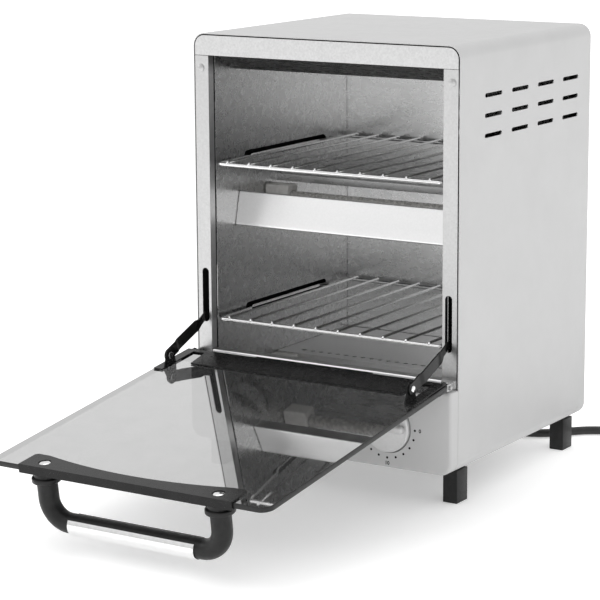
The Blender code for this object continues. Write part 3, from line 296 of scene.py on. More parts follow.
MATERIALS = {
    "white_paint": white_paint(),
    "galvanised": bare_sheet("galvanised", 0.5, 0.6, 0.36, (1, 1, 0.2)),
    "strip_sheet": bare_sheet("strip_sheet", 0.5, 0.57, 0.34, (1, 1, 0.3)),
    "brushed": bare_sheet("brushed", 0.54, 0.64, 0.3, (0.03, 1, 1), 0.012),
    "liner": bare_sheet("liner", 0.53, 0.555, 0.27, (0.5, 1, 1), 0.0003),
    # Lighter copy of the liner, painted light that brightens the cavity back.
    "painted_lit_liner": bare_sheet("painted_lit_liner", 0.77, 0.8, 0.27, (0.5, 1, 1), 0.0003),
    # Lighter copy of the sheet, painted light and painted highlight on the sill, middle guard and lower
    # floor plate.
    "painted_lit_sheet": bare_sheet("painted_lit_sheet", 0.9, 0.95, 0.3, (0.06, 1, 1)),
    "steel": dull_steel(),
    "chrome": chrome(),
    "ceramic": ceramic(),
    "quartz": quartz(),
    "knob": knob_finish(),
    "mirror_glass": mirror_film(),
    "glass_edge": glass_edge(),
    "glass_under": glass_under(),
    "black_paint": black_paint(),
    "black_gloss": black_gloss(),
    # Painted shade for the casing's inside.
    "painted_shade_inside": painted_shade_inside(),
    "black_plastic": black_plastic(),
    "rubber": rubber(),
    "ink": print_ink(),
}


# ---------------------------------------------------------------- mesh helpers
def axes(u, v, w, origin=(0, 0, 0)):
    """Matrix that carries a drawing's (u, v) and its thickness w to other axes."""
    return Matrix.Translation(origin) @ Matrix((u, v, w)).transposed().to_4x4()


def finish_mesh(name, bm, matrix):
    bmesh.ops.recalc_face_normals(bm, faces=bm.faces)
    mesh = bpy.data.meshes.new(name)
    bm.to_mesh(mesh)
    bm.free()
    mesh.transform(matrix)
    if matrix.determinant() < 0:
        mesh.flip_normals()
    return mesh


def arc(centre, radius, start, end, steps):
    points = []
    for i in range(steps + 1):
        angle = math.radians(start + (end - start) * i / steps)
        points.append((centre[0] + radius * math.cos(angle), centre[1] + radius * math.sin(angle)))
    return points


def stacked(name, layers, matrix):
    """Closed skin through loops of equal point count, each a list of (x, y, z) points."""
    bm = bmesh.new()
    rings = [[bm.verts.new(point) for point in loop] for loop in layers]
    for low, high in zip(rings, rings[1:]):
        for i, vert in enumerate(low):
            j = (i + 1) % len(low)
            bm.faces.new((vert, low[j], high[j], high[i]))
    bm.faces.new(rings[0][::-1])
    bm.faces.new(rings[-1])
    return finish_mesh(name, bm, matrix)


def turned(name, profile, matrix, sides=48):
    """Solid of revolution about w through (radius, height) points."""
    bm = bmesh.new()
    rings = []
    for radius, height in profile:
        ring = []
        for i in range(1 if radius == 0.0 else sides):
            angle = 2 * math.pi * i / sides
            ring.append(bm.verts.new((radius * math.cos(angle), radius * math.sin(angle), height)))
        rings.append(ring)
    for first, second in zip(rings, rings[1:]):
        for i in range(sides):
            j = (i + 1) % sides
            corners = [first[i % len(first)], first[j % len(first)]]
            corners += [second[j % len(second)], second[i % len(second)]]
            unique = list(dict.fromkeys(corners))
            if len(unique) > 2:
                bm.faces.new(unique)
    return finish_mesh(name, bm, matrix)


def make_piece(name, mesh, material, body, nodes=(), bevel=0.0, segments=3, angle=35):
    """Puts a mesh in the scene as a piece that rides on a body and stands for CAD nodes."""
    mesh.shade_smooth()
    piece = bpy.data.objects.new(name, mesh)
    bpy.context.collection.objects.link(piece)
    piece.data.materials.append(MATERIALS[material])
    if bevel > 0.0:
        modifier = piece.modifiers.new("bevel", "BEVEL")
        modifier.width = bevel
        modifier.segments = segments
        modifier.limit_method = "ANGLE"
        modifier.angle_limit = math.radians(angle)
        modifier.harden_normals = True
    else:
        mesh.set_sharp_from_angle(angle=math.radians(angle))
    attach(piece, body)
    if nodes:
        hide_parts(*nodes)
    return piece


def clean_copy(node):
    """The CAD node's points and faces alone, with its flat faces merged."""
    source = NODES[node].data
    bm = bmesh.new()
    verts = [bm.verts.new(vertex.co) for vertex in source.vertices]
    for polygon in source.polygons:
        bm.faces.new([verts[i] for i in polygon.vertices])
    bmesh.ops.remove_doubles(bm, verts=bm.verts, dist=0.001 * MM)
    bmesh.ops.dissolve_limit(bm, angle_limit=math.radians(1), verts=bm.verts, edges=bm.edges)
    return bm


def softened(node, material, body, bevel=0.2 * MM, segments=2):
    """Copy of a CAD node with its flat faces merged and its edges rounded, shown in its place."""
    mesh = finish_mesh(node + "_fine", clean_copy(node), Matrix.Identity(4))
    return make_piece(node + "_fine", mesh, material, body, [node], bevel, segments)


def joined(name, base, others, operation="UNION"):
    """EXACT boolean of closed meshes."""
    result = bpy.data.objects.new(name, base)
    bpy.context.collection.objects.link(result)
    helpers = []
    for mesh in others:
        helper = bpy.data.objects.new("helper", mesh)
        bpy.context.collection.objects.link(helper)
        helpers.append(helper)
        modifier = result.modifiers.new("join", "BOOLEAN")
        modifier.operation = operation
        modifier.solver = "EXACT"
        modifier.object = helper
    evaluated = result.evaluated_get(bpy.context.evaluated_depsgraph_get())
    mesh = bpy.data.meshes.new_from_object(evaluated)
    mesh.name = name
    for obj in [result] + helpers:
        bpy.data.objects.remove(obj, do_unlink=True)
    return mesh


def merged(name, meshes):
    """One mesh from several separate closed ones."""
    bm = bmesh.new()
    for mesh in meshes:
        bm.from_mesh(mesh)
    result = bpy.data.meshes.new(name)
    bm.to_mesh(result)
    bm.free()
    return result


def rounded_path(points, radius, steps=5, closed=False):
    """The same path with its corners turned into arcs of about the radius."""
    points = [Vector(point) for point in points]
    count = len(points)
    result = []
    for i, point in enumerate(points):
        if not closed and i in (0, count - 1):
            result.append(point)
            continue
        before = (points[i - 1] - point)
        after = (points[(i + 1) % count] - point)
        half_turn = (math.pi - before.angle(after)) / 2
        cut = min(radius * math.tan(half_turn), 0.45 * before.length, 0.45 * after.length)
        start = point + before.normalized() * cut
        end = point + after.normalized() * cut
        for step in range(steps + 1):
            t = step / steps
            result.append(start * (1 - t) ** 2 + point * 2 * t * (1 - t) + end * t * t)
    return result


def swept(name, points, radius, sides=14, closed=False, matrix=Matrix.Identity(4), dome=False):
    """Round wire along a path; dome rounds its two ends."""
    points = [Vector(point) for point in points]
    count = len(points)
    radii = [radius] * count
    if dome and not closed:
        first = (points[1] - points[0]).normalized() * radius
        last = (points[-1] - points[-2]).normalized() * radius
        start = [points[0], points[0] + 0.3 * first, points[0] + first]
        end = [points[-1] - last, points[-1] - 0.3 * last, points[-1]]
        points = start + points[1:-1] + end
        count = len(points)
        end_radii = [0.35 * radius, 0.75 * radius]
        radii = end_radii + [radius] * (count - 4) + end_radii[::-1]
    rings = []
    bm = bmesh.new()
    across = None
    for i, point in enumerate(points):
        before = points[i - 1] if closed or i else point
        after = points[(i + 1) % count] if closed or i < count - 1 else point
        along = (after - before).normalized()
        if across is None:
            across = along.orthogonal().normalized()
        across = (across - along * across.dot(along)).normalized()
        other = along.cross(across)
        ring = []
        for k in range(sides):
            angle = 2 * math.pi * k / sides
            offset = across * math.cos(angle) + other * math.sin(angle)
            ring.append(bm.verts.new(point + offset * radii[i]))
        rings.append(ring)
    pairs = list(zip(rings, rings[1:]))
    if closed:
        shift = closest_start(rings[-1], rings[0])
        pairs.append((rings[-1], rings[0][shift:] + rings[0][:shift]))
    for low, high in pairs:
        for k in range(sides):
            j = (k + 1) % sides
            bm.faces.new((low[k], low[j], high[j], high[k]))
    if not closed:
        bm.faces.new(rings[0][::-1])
        bm.faces.new(rings[-1])
    return finish_mesh(name, bm, matrix)


def closest_start(ring, other):
    distances = [(vert.co - ring[0].co).length for vert in other]
    return distances.index(min(distances))


def folded_sheet(name, path, thickness, width, fold, matrix):
    """Sheet bent along a (u, v) path and drawn out to a width; thickness goes to the path's left."""
    centre = rounded_path([(u, v, 0.0) for u, v in path], fold, 4)
    left = []
    for i, point in enumerate(centre):
        before = centre[max(i - 1, 0)]
        after = centre[min(i + 1, len(centre) - 1)]
        along = (after - before).normalized()
        left.append((point.x - along.y * thickness, point.y + along.x * thickness))
    outline = [(point.x, point.y) for point in centre] + left[::-1]
    low = [(u, v, 0.0) for u, v in outline]
    high = [(u, v, width) for u, v in outline]
    return stacked(name, [low, high], matrix)


def paint_shade_inside(piece, middle_z):
    """Gives the faces that look towards a middle line along Y a near-black material: painted shade for
    the casing's shadowed inside and its vents.
    """
    piece.data.materials.append(MATERIALS["painted_shade_inside"])
    for polygon in piece.data.polygons:
        inwards = Vector((-polygon.center.x, 0, middle_z - polygon.center.z))
        if polygon.normal.dot(inwards.normalized()) > 0.35:
            polygon.material_index = 1


def draw_in(piece, side, top):
    """Moves a piece's outer edge in a little, which widens the seam beside the casing."""
    fade = 8 * MM
    edge = max(abs(vertex.co.x) for vertex in piece.data.vertices)
    crown = max(vertex.co.z for vertex in piece.data.vertices)
    for vertex in piece.data.vertices:
        share = max(0.0, 1 - (edge - abs(vertex.co.x)) / fade)
        vertex.co.x -= math.copysign(side, vertex.co.x) * share
        vertex.co.z -= top * max(0.0, 1 - (crown - vertex.co.z) / fade)


# ---------------------------------------------------------------- cord
CORD_RADIUS = 3.4 * MM
COIL_RADIUS = 40 * MM
COIL_CENTRE = (205 * MM, DEPTH + 17 * MM)
GLAND_X = -45 * MM
GLAND_Z = 14 * MM
GLAND_LENGTH = 22 * MM


def cord_route():
    """Listed places of the cord's middle line, from the gland to the coil.

    Each is (x, behind the back panel, above the floor) in millimetres.
    """
    rest = CORD_RADIUS / MM + 0.2
    gland_end = (GLAND_X / MM, GLAND_LENGTH / MM + 1.3, (GLAND_Z + FOOT_HEIGHT) / MM)
    places = [gland_end, (-41.7, 33.3, 37.9), (-35.8, 42.7, 34.9), (-28.2, 49.4, 30.1),
              (-18.7, 52.8, 24.6), (-8.8, 52.6, 18.9), (0.7, 49, 13.4), (8.9, 42.4, 8.9),
              (15.3, 33.5, 5.5), (19.8, 23, rest), (25.3, 12.9, rest), (33.2, 4.5, rest),
              (43.5, -1.3, rest), (55.5, -4, rest), (68, -2.8, rest), (79.5, 2.6, rest),
              (88.5, 11, rest), (96.8, 20, rest), (106, 29, rest), (117.5, 36, rest),
              (130, 41, rest), (143, 46, rest), (157, 51.3, rest), (171, 55.6, rest)]
    back = FRONT_Y + DEPTH
    return [Vector((x * MM, back + behind * MM, up * MM)) for x, behind, up in places]


def smooth_through(points, steps):
    """Catmull-Rom curve through the route's points."""
    ends = [2 * points[0] - points[1]] + points + [2 * points[-1] - points[-2]]
    result = []
    for i in range(1, len(ends) - 2):
        before, start, end, after = ends[i - 1:i + 3]
        for step in range(steps):
            t = step / steps
            along = (end - before) * t
            bend = (2 * before - 5 * start + 4 * end - after) * t * t
            twist = (3 * start - before - 3 * end + after) * t * t * t
            result.append(start + (along + bend + twist) / 2)
    result.append(points[-1])
    return result


def coil_points():
    """Turns that fill the coil's ring, two beside each other and two on each other.

    Each pass moves on to the next place once, at a different angle, so that no two meet.
    """
    across = 3.5 * MM
    low, high = CORD_RADIUS + 0.2 * MM, CORD_RADIUS + 7.1 * MM
    places = [(COIL_RADIUS + across, low), (COIL_RADIUS - across, low),
              (COIL_RADIUS - across, high), (COIL_RADIUS + across, high)]
    moves = [0.80, 0.55, 0.32]
    move_length = 0.15
    per_turn = 40
    turns = 3.28
    points = []
    for i in range(int(turns * per_turn) + 1):
        turn = i / per_turn
        index = 0
        share = 0.0
        for k, start in enumerate(moves):
            passed = (turn - (k + start)) / move_length
            if passed >= 1:
                index = k + 1
            elif passed > 0:
                share = passed * passed * (3 - 2 * passed)
        now, then = places[index], places[min(index + 1, 3)]
        radius = now[0] + (then[0] - now[0]) * share
        height = now[1] + (then[1] - now[1]) * share
        angle = math.radians(100) - 2 * math.pi * turn
        points.append(Vector((COIL_CENTRE[0] + radius * math.cos(angle),
                              FRONT_Y + COIL_CENTRE[1] + radius * math.sin(angle), height)))
    return points


def build_cord():
    """The lead from inside its gland, through the coil, to the plug."""
    end = COIL_CENTRE[0] + COIL_RADIUS
    middle = FRONT_Y + COIL_CENTRE[1]
    tail = [(end + 2.3 * MM, -12, 10.4), (end + 1.2 * MM, -22, 9.8), (end, -35.6, 9)]
    route = cord_route()
    coil = coil_points()
    inside_gland = route[0] - Vector((0, 4 * MM, 0))
    joining = smooth_through([route[-2], route[-1], coil[0], coil[2]], 6)[6:12]
    points = [inside_gland] + smooth_through(route, 5)[:-1] + joining + coil
    tail_points = [Vector((x, middle + y * MM, z * MM)) for x, y, z in tail]
    points += smooth_through([points[-1]] + tail_points, 5)[1:]
    data = bpy.data.curves.new("mains_lead", "CURVE")
    data.dimensions = "3D"
    data.bevel_depth = CORD_RADIUS
    data.bevel_resolution = 6
    data.use_fill_caps = True
    spline = data.splines.new("POLY")
    spline.points.add(len(points) - 1)
    for place, point in zip(spline.points, points):
        place.co = (*point, 1)
    lead = bpy.data.objects.new("mains_lead", data)
    bpy.context.collection.objects.link(lead)
    data.materials.append(MATERIALS["rubber"])
    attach(lead, "body")
    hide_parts("cord", "cord_coil")
    length = sum((b - a).length for a, b in zip(points, points[1:]))
    return lead, tuple(route[0]), length


def build_plug(lead, gland_end, length):
    plug = softened("plug", "rubber", "body", 0.6 * MM, 3)
    for side in ("left", "right"):
        softened("plug_blade_" + side, "steel", "body", 0.3 * MM)


def build_gland():
    """Tapered strain relief with rings along it."""
    profile = [(0.0, -3 * MM), (5 * MM, -3 * MM), (5 * MM, FIT), (7.2 * MM, FIT), (7.5 * MM, 0.6 * MM),
               (7.5 * MM, 2.6 * MM), (7.1 * MM, 3 * MM)]
    rings = 5
    start, end = 3.2 * MM, GLAND_LENGTH
    for i in range(rings):
        low = start + (end - start) * i / rings
        high = start + (end - start) * (i + 0.62) / rings
        radius = 5.4 * MM - 0.8 * MM * i / rings
        profile += [(radius - 0.8 * MM, low), (radius, low + 0.3 * MM), (radius - 0.1 * MM, high),
                    (radius - 0.9 * MM, high + 0.3 * MM)]
    profile += [(3.9 * MM, end), (0.0, end)]
    matrix = OVEN @ axes((1, 0, 0), (0, 0, 1), (0, 1, 0), (GLAND_X, DEPTH, GLAND_Z))
    mesh = turned("strain_relief", profile, matrix)
    make_piece("strain_relief", mesh, "rubber", "body", ["cord_gland"])


# ---------------------------------------------------------------- body
def build_body():
    casing = softened("casing", "white_paint", "body", 0.35 * MM, 3)
    # Painted shade: the casing's inward faces turn near-black.
    paint_shade_inside(casing, FOOT_HEIGHT + HEIGHT / 2)
    for node in ("base_plate", "back_panel", "control_bracket"):
        softened(node, "galvanised", "body", 0.2 * MM)
    for side in ("left", "right"):
        strip = softened("front_strip_" + side, "strip_sheet", "body", 0.2 * MM)
        draw_in(strip, 0.5 * MM, 0.0)
    draw_in(softened("top_strip", "brushed", "body", 0.25 * MM), 0.6 * MM, 0.6 * MM)
    liners = [("cavity_wall_left", "liner"), ("cavity_wall_right", "liner"), ("cavity_ceiling", "liner"),
              # The cavity back takes the lighter, painted-light copy of the liner.
              ("upper_floor_plate", "liner"), ("top_guard", "liner"), ("cavity_back", "painted_lit_liner"),
              # The lower floor plate takes the lighter, painted-light copy of the sheet.
              ("cavity_floor", "liner"), ("lower_floor_plate", "painted_lit_sheet")]
    for node, look in liners:
        softened(node, look, "body", 0.15 * MM)
    for place in ("front_left", "front_right", "back_left", "back_right"):
        softened("foot_" + place, "black_plastic", "body", 0.3 * MM)
    for side in ("left", "right"):
        softened("strip_rivet_" + side, "steel", "body", 0.1 * MM)
        softened("hinge_pin_" + side, "steel", "body", 0.2 * MM)
    for name in ("timer", "selector"):
        softened(name + "_unit", "ceramic", "body", 0.3 * MM)
        softened(name + "_shaft", "steel", name, 0.2 * MM)
    for level in ("top", "middle", "bottom"):
        softened("heater_" + level, "quartz", "body", 0.3 * MM)
        for side in ("left", "right"):
            softened("heater_holder_%s_%s" % (level, side), "ceramic", "body", 0.4 * MM)
    softened("control_panel", "white_paint", "body", 0.2 * MM)
    build_middle_guard()
    build_threshold()
    for name in ("upper_rack", "lower_rack"):
        build_rack(name)


def build_middle_guard():
    low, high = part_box("middle_guard")
    width = high.x - low.x
    front = low.y - FRONT_Y
    bottom, top = low.z - FOOT_HEIGHT, high.z - FOOT_HEIGHT
    path = [(front + 12 * MM, bottom), (front, bottom), (front + 6.2 * MM, top),
            (front + 15.2 * MM, top - 1.5 * MM)]
    matrix = OVEN @ axes((0, 1, 0), (0, 0, 1), (1, 0, 0), (low.x, 0, 0))
    mesh = folded_sheet("middle_guard_fine", path, -0.6 * MM, width, 1.6 * MM, matrix)
    # The guard's sheet is the lighter copy, painted light.
    make_piece("middle_guard_fine", mesh, "painted_lit_sheet", "body", ["middle_guard"],
               0.12 * MM, 2)


def build_threshold():
    """Front sill: the top flange is rolled over, so its edge shines; its sheet is a lighter copy,
    painted light.
    """
    low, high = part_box("front_threshold")
    bottom, top = low.z - FOOT_HEIGHT, high.z - FOOT_HEIGHT
    path = [(0, bottom), (0, top), (9 * MM, top)]
    matrix = OVEN @ axes((0, 1, 0), (0, 0, 1), (1, 0, 0), (low.x, 0, 0))
    mesh = folded_sheet("front_threshold_fine", path, -0.8 * MM, high.x - low.x, 1.8 * MM, matrix)
    make_piece("front_threshold_fine", mesh, "painted_lit_sheet", "body",
               ["front_threshold"], 0.12 * MM, 2)


# ---------------------------------------------------------------- racks
RACK_FRAME_RADIUS = 1.5 * MM
RACK_WIRE_RADIUS = 1.05 * MM
RACK_WIRE_PITCH = 20 * MM
RACK_WIRES = 10
RACK_FRONT = 5 * MM
RACK_BACK_GAP = 6 * MM
RAIL_FRONT = 50 * MM
RAIL_BACK_GAP = 36 * MM
RAIL_JOG = 8 * MM
CAVITY_HALF_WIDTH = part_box("cavity_wall_right")[0].x
CAVITY_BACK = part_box("cavity_back")[0].y - FRONT_Y - FIT


def build_rack(name):
    """Wire rack: a closed frame with side rails, cross wires and the welds between them."""
    low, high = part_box(name)
    level = low.z - FOOT_HEIGHT + RACK_FRAME_RADIUS
    front, back = RACK_FRONT, CAVITY_BACK - RACK_BACK_GAP
    rail = CAVITY_HALF_WIDTH + 1.6 * MM
    inside = CAVITY_HALF_WIDTH - RACK_FRAME_RADIUS - 1.2 * MM
    rail_back = CAVITY_BACK - RAIL_BACK_GAP
    right = [(inside - 1.6 * MM, front), (inside, RAIL_FRONT), (rail, RAIL_FRONT + RAIL_JOG),
             (rail, rail_back - RAIL_JOG), (inside, rail_back), (inside - 3 * MM, back)]
    loop = [(x, y, level) for x, y in right] + [(-x, y, level) for x, y in reversed(right)]
    pieces = [swept("frame", rounded_path(loop, 4 * MM, 5, True), RACK_FRAME_RADIUS, 16, True, OVEN)]
    height = level + RACK_FRAME_RADIUS + RACK_WIRE_RADIUS - 0.45 * MM
    for i in range(RACK_WIRES):
        x = (i - (RACK_WIRES - 1) / 2) * RACK_WIRE_PITCH
        places = (front - 1 * MM, (front + back) / 2, back + 2.6 * MM)
        wire = [(x, y, height) for y in places]
        pieces.append(swept("wire", wire, RACK_WIRE_RADIUS, matrix=OVEN, dome=True))
        for y in (front, back):
            weld = [(0.0, -1.1 * MM), (1.5 * MM, -0.8 * MM), (1.75 * MM, -0.2 * MM),
                    (1.3 * MM, 0.45 * MM), (0.0, 0.75 * MM)]
            place = OVEN @ Matrix.Translation((x, y, height - 0.4 * MM))
            pieces.append(turned("weld", weld, place, 14))
    make_piece(name + "_fine", merged(name + "_fine", pieces), "chrome", "body", [name],
               angle=50)


# ---------------------------------------------------------------- door
GLASS_TOP_FACE = 4.85 * MM
HANDLE_SPAN = 73.5 * MM
HANDLE_DROP = 42 * MM
HANDLE_RADIUS = 7.4 * MM
HANDLE_BEND = 17 * MM
HANDLE_ALONG = HEIGHT - (JOINTS["door_hinge"].z - FOOT_HEIGHT) - 8 * MM
HANDLE_TOP = GLASS_TOP_FACE - 4 * MM - 2 * FIT - 1 * MM


def build_handle():
    """U-shaped bar under the glass, with a stepped collar at each end."""
    low = GLASS_TOP_FACE - HANDLE_DROP
    right = [(HANDLE_SPAN, HANDLE_TOP)]
    right += arc((HANDLE_SPAN - HANDLE_BEND, low + HANDLE_BEND), HANDLE_BEND, 0, -90, 20)
    flat = right + [(-x, n) for x, n in reversed(right)]
    bar = swept("bar", [(x, -HANDLE_ALONG, n) for x, n in flat], HANDLE_RADIUS, 40, matrix=DOOR)
    steps = [(0.0, 0.01), (8.6, 0.01), (8.6, 3), (10.1, 3.25), (10.5, 3.6), (10.6, 4.2), (10.6, 6.2),
             (10.2, 6.7), (8.6, 7.1), (8.1, 7.6), (0.0, 7.6)]
    collar = [(radius * MM, HANDLE_TOP - below * MM) for radius, below in steps]
    collars = []
    for side in (-1, 1):
        place = DOOR @ Matrix.Translation((side * HANDLE_SPAN, -HANDLE_ALONG, 0))
        collars.append(turned("collar", collar, place, 48))
    mesh = joined("handle_tube_fine", bar, collars)
    make_piece("handle_tube_fine", mesh, "black_plastic", "door", ["handle_tube"],
               angle=40)


LINK_HALF = 4.7 * MM
LINK_TIP_HALF = 2.9 * MM
LINK_REACH = 45 * MM
LINK_HOOK = 11.3 * MM
LINK_RISE = math.radians(21.5)
LINK_TURN = math.radians(9)
LINK_JOGGLE = 1.05 * MM


def link_sections():
    """Cross sections of the arm: (middle, direction, half width, shift outwards)."""
    sections = []
    for i in range(7):
        angle = math.radians(5 + 85 * i / 6)
        sections.append(((-LINK_HALF * math.cos(angle), 0.0), 0.0, LINK_HALF * math.sin(angle), 0.0))
    for u, shift in ((11.5, 0.0), (12.3, 0.1), (15.2, 0.95), (16, 1.0)):
        sections.append(((u * MM, 0.0), 0.0, LINK_HALF, shift * LINK_JOGGLE))
    for i in range(5):
        turn = LINK_TURN * i / 4
        width = LINK_HALF + (LINK_TIP_HALF - LINK_HALF) * i / 4
        middle = (LINK_REACH - 2.4 * MM + 1.2 * MM * i, 0.15 * MM * i * i / 4)
        sections.append((middle, turn, width, LINK_JOGGLE * (1 - 0.6 * i / 4)))
    tip = (LINK_REACH + LINK_HOOK * math.cos(LINK_TURN), LINK_HOOK * math.sin(LINK_TURN))
    for i in range(7):
        angle = math.radians(85 * i / 6)
        along = LINK_TIP_HALF * math.sin(angle)
        middle = (tip[0] + along * math.cos(LINK_TURN), tip[1] + along * math.sin(LINK_TURN))
        sections.append((middle, LINK_TURN, LINK_TIP_HALF * math.cos(angle), 0.4 * LINK_JOGGLE))
    return sections


def build_link_arm(side, sign):
    """Flat arm: joggled outwards near its rivet, narrowed where it enters the slot."""
    low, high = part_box("link_arm_" + side)
    inner = high.x if sign < 0 else low.x
    thickness = high.x - low.x
    pivot = JOINTS["link_%s_pivot" % side]
    place = axes((0, math.cos(LINK_RISE), math.sin(LINK_RISE)),
                 (0, -math.sin(LINK_RISE), math.cos(LINK_RISE)), (sign, 0, 0),
                 (inner, pivot.y, pivot.z))
    layers = []
    for (u, v), turn, width, shift in link_sections():
        across = (-math.sin(turn) * width, math.cos(turn) * width)
        layers.append([(u - across[0], v - across[1], shift), (u + across[0], v + across[1], shift),
                       (u + across[0], v + across[1], shift + thickness),
                       (u - across[0], v - across[1], shift + thickness)])
    mesh = stacked("link_arm_%s_fine" % side, layers, place)
    make_piece("link_arm_%s_fine" % side, mesh, "black_gloss", "link_" + side,
               ["link_arm_" + side], 0.22 * MM, 2)


def build_door():
    softened("hinge_frame", "black_paint", "door", 0.2 * MM)
    softened("handle_bracket", "black_paint", "door", 0.2 * MM)
    build_handle()
    softened("handle_sleeve", "chrome", "door", 0.15 * MM)
    for side in ("left", "right"):
        softened("handle_screw_" + side, "chrome", "door", 0.2 * MM)
        softened("link_rivet_" + side, "chrome", "door", 0.2 * MM)
        build_link_arm(side, -1 if side == "left" else 1)
    build_glass()


def build_glass():
    """Slab with ground edges. Its upper face carries the half-mirror film."""
    bm = clean_copy("door_glass")
    bm.transform(DOOR.inverted())
    rims = []
    for edge in bm.edges:
        if len({abs(face.normal.z) > 0.5 for face in edge.link_faces}) == 2:
            rims.append(edge)
    bmesh.ops.bevel(bm, geom=rims, offset=0.5 * MM, segments=2, profile=0.5, affect="EDGES")
    bm.normal_update()
    for face in bm.faces:
        face.material_index = 1
        if abs(face.normal.z) > 0.99:
            face.material_index = 0 if face.normal.z > 0 else 2
    mesh = bpy.data.meshes.new("door_glass_fine")
    bm.to_mesh(mesh)
    bm.free()
    mesh.transform(DOOR)
    piece = bpy.data.objects.new("door_glass_fine", mesh)
    bpy.context.collection.objects.link(piece)
    for name in ("mirror_glass", "glass_edge", "glass_under"):
        mesh.materials.append(MATERIALS[name])
    for polygon in mesh.polygons:
        polygon.use_smooth = polygon.material_index == 1
    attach(piece, "door")
    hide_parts("door_glass")


# ---------------------------------------------------------------- controls
KNOB_X = 63.1 * MM
KNOB_Z = 32 * MM
PANEL_DEPTH = 11 * MM
KNOB_RADIUS = 19.4 * MM
KNOB_PROUD = 3 * MM
KNOB_THICKNESS = 6 * MM
GRIP_HALF_LENGTH = 16.4 * MM
GRIP_HALF_WIDTH = 3.2 * MM
DOT_RING = 23.9 * MM
DOT_RADIUS = 0.95 * MM
NUMBER_RING = 28.2 * MM
NUMBER_HEIGHT = 4 * MM
TIMER_DOTS = 16
TIMER_DOT_STEP = 18
SELECTOR_DOT_STEP = 31


def build_knob(name, x, grip_turn):
    """Dished dial with a bar across it. In its frame u is right, v is up and w goes into the oven."""
    face = -KNOB_PROUD
    back = face + KNOB_THICKNESS
    dish = [(0.0, face + 1.25 * MM), (6 * MM, face + 1.15 * MM), (11 * MM, face + 0.9 * MM),
            (14.5 * MM, face + 0.55 * MM), (16.8 * MM, face + 0.12 * MM), (17.6 * MM, face),
            (18.5 * MM, face + 0.12 * MM), (19.1 * MM, face + 0.45 * MM), (KNOB_RADIUS, face + 1 * MM),
            (KNOB_RADIUS, back - 0.3 * MM), (KNOB_RADIUS - 0.3 * MM, back), (0.0, back)]
    place = OVEN @ axes((1, 0, 0), (0, 0, 1), (0, 1, 0), (x, -PANEL_DEPTH, KNOB_Z))
    place = place @ Matrix.Rotation(-grip_turn, 4, "Z")
    disc = turned("disc", dish, place, 96)
    layers = []
    for inset, height in ((0.9, 2.5), (0.0, 1.5), (0.0, -2.2), (0.25, -3), (0.8, -3.6), (1.7, -3.95)):
        half_length, half_width = GRIP_HALF_LENGTH - inset * MM, GRIP_HALF_WIDTH - inset * MM
        loop = []
        for sign, start in ((1, -90), (-1, 90)):
            loop += arc((sign * (half_length - half_width), 0), half_width, start, start + 180, 10)
        layers.append([(u, v, face + height * MM) for u, v in loop])
    bar = stacked("bar", layers, place)
    boss = turned("boss", [(0.0, face + 4 * MM), (7 * MM, face + 4 * MM), (7 * MM, face + 10 * MM),
                           (0.0, face + 10 * MM)], place, 32)
    bore = turned("bore", [(0.0, 1.2 * MM), (3.3 * MM, 1.2 * MM), (3.3 * MM, 9 * MM), (0.0, 9 * MM)],
                  place, 24)
    solid = joined("solid", disc, [bar, boss])
    mesh = joined(name + "_knob_fine", solid, [bore], "DIFFERENCE")
    make_piece(name + "_knob_fine", mesh, "knob", name, [name + "_knob"], 0.15 * MM, 2)


def printed_number(text):
    """Thin mesh of a number, centred on the origin."""
    data = bpy.data.curves.new("number", "FONT")
    data.body = text
    data.size = NUMBER_HEIGHT
    data.align_x = "CENTER"
    data.align_y = "CENTER"
    data.extrude = 0.02 * MM
    data.offset = 0.12 * MM
    data.resolution_u = 3
    label = bpy.data.objects.new("number", data)
    bpy.context.collection.objects.link(label)
    mesh = bpy.data.meshes.new_from_object(label.evaluated_get(bpy.context.evaluated_depsgraph_get()))
    bpy.data.objects.remove(label, do_unlink=True)
    return mesh


def printed_at(knob_x, ring, degrees, height=0.0):
    """Matrix of a mark on the panel's face, on a ring round a dial's axis."""
    face = OVEN @ axes((1, 0, 0), (0, 0, 1), (0, -1, 0), (0, -PANEL_DEPTH, 0))
    angle = math.radians(degrees)
    u, v = knob_x + ring * math.cos(angle), KNOB_Z + ring * math.sin(angle)
    return face @ Matrix.Translation((u, v, height))


def build_prints():
    """Dots and numbers round the timer dial, and dots round the selector dial."""
    pieces = []
    dot = [(0.0, -0.02 * MM), (DOT_RADIUS, -0.02 * MM), (DOT_RADIUS, 0.025 * MM), (0.0, 0.025 * MM)]
    for i in range(TIMER_DOTS):
        degrees = -TIMER_DOT_STEP * i
        pieces.append(turned("dot", dot, printed_at(KNOB_X, DOT_RING, degrees), 20))
        if i % 5 == 0:
            mesh = printed_number(str(2 * i))
            mesh.transform(printed_at(KNOB_X, NUMBER_RING, degrees, 0.01 * MM))
            pieces.append(mesh)
    for i in range(-2, 3):
        degrees = 90 + SELECTOR_DOT_STEP * i
        pieces.append(turned("dot", dot, printed_at(-KNOB_X, DOT_RING, degrees), 20))
    make_piece("panel_print", merged("panel_print", pieces), "ink", "body")


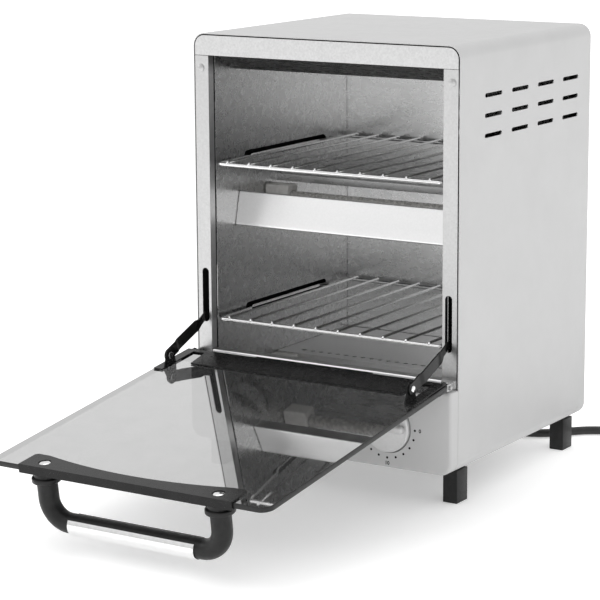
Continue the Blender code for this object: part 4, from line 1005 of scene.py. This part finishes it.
def build_controls():
    build_knob("timer", KNOB_X, 0.0)
    build_knob("selector", -KNOB_X, math.radians(SELECTOR_DOT_STEP))
    build_prints()


# ---------------------------------------------------------------- surroundings
FLOOR_RADIUS = 9
SKY_LOW, SKY_HIGH = 0.74, 1.05
LAMPS = (("overhead", (-0.3, 0.2, 1.7), 1.0, 4), ("left", (-1.6, -0.9, 0.9), 0.7, 3))
LAMP_AIM = Vector((0, 0, 0.15))


def build_stage():
    bm = bmesh.new()
    bmesh.ops.create_circle(bm, cap_ends=True, segments=64, radius=FLOOR_RADIUS)
    floor = bpy.data.objects.new("floor", finish_mesh("floor", bm, Matrix.Identity(4)))
    floor.data.materials.append(floor_paper())
    bpy.context.collection.objects.link(floor)


def build_light():
    """White surroundings, a little brighter above, and two soft lamps."""
    scene = bpy.context.scene
    scene.view_settings.view_transform = "Standard"
    world = bpy.data.worlds.new("studio")
    world.use_nodes = True
    tree = world.node_tree
    background = tree.nodes["Background"]
    background.inputs["Color"].default_value = (1, 1, 1, 1)
    coords = tree.nodes.new("ShaderNodeTexCoord")
    split = tree.nodes.new("ShaderNodeSeparateXYZ")
    ramp = tree.nodes.new("ShaderNodeMapRange")
    ramp.inputs["From Min"].default_value = 0.0
    ramp.inputs["From Max"].default_value = 0.9
    ramp.inputs["To Min"].default_value = SKY_LOW
    ramp.inputs["To Max"].default_value = SKY_HIGH
    tree.links.new(coords.outputs["Generated"], split.inputs["Vector"])
    tree.links.new(split.outputs["Z"], ramp.inputs["Value"])
    tree.links.new(ramp.outputs["Result"], background.inputs["Strength"])
    scene.world = world
    for name, place, size, power in LAMPS:
        data = bpy.data.lights.new(name, "AREA")
        data.size = size
        data.energy = power
        light = bpy.data.objects.new(name, data)
        light.location = place
        light.rotation_euler = (LAMP_AIM - Vector(place)).to_track_quat("-Z", "Y").to_euler()
        bpy.context.collection.objects.link(light)


build_camera()
build_plug(*build_cord())
build_gland()
build_body()
build_door()
build_controls()
build_stage()
build_light()
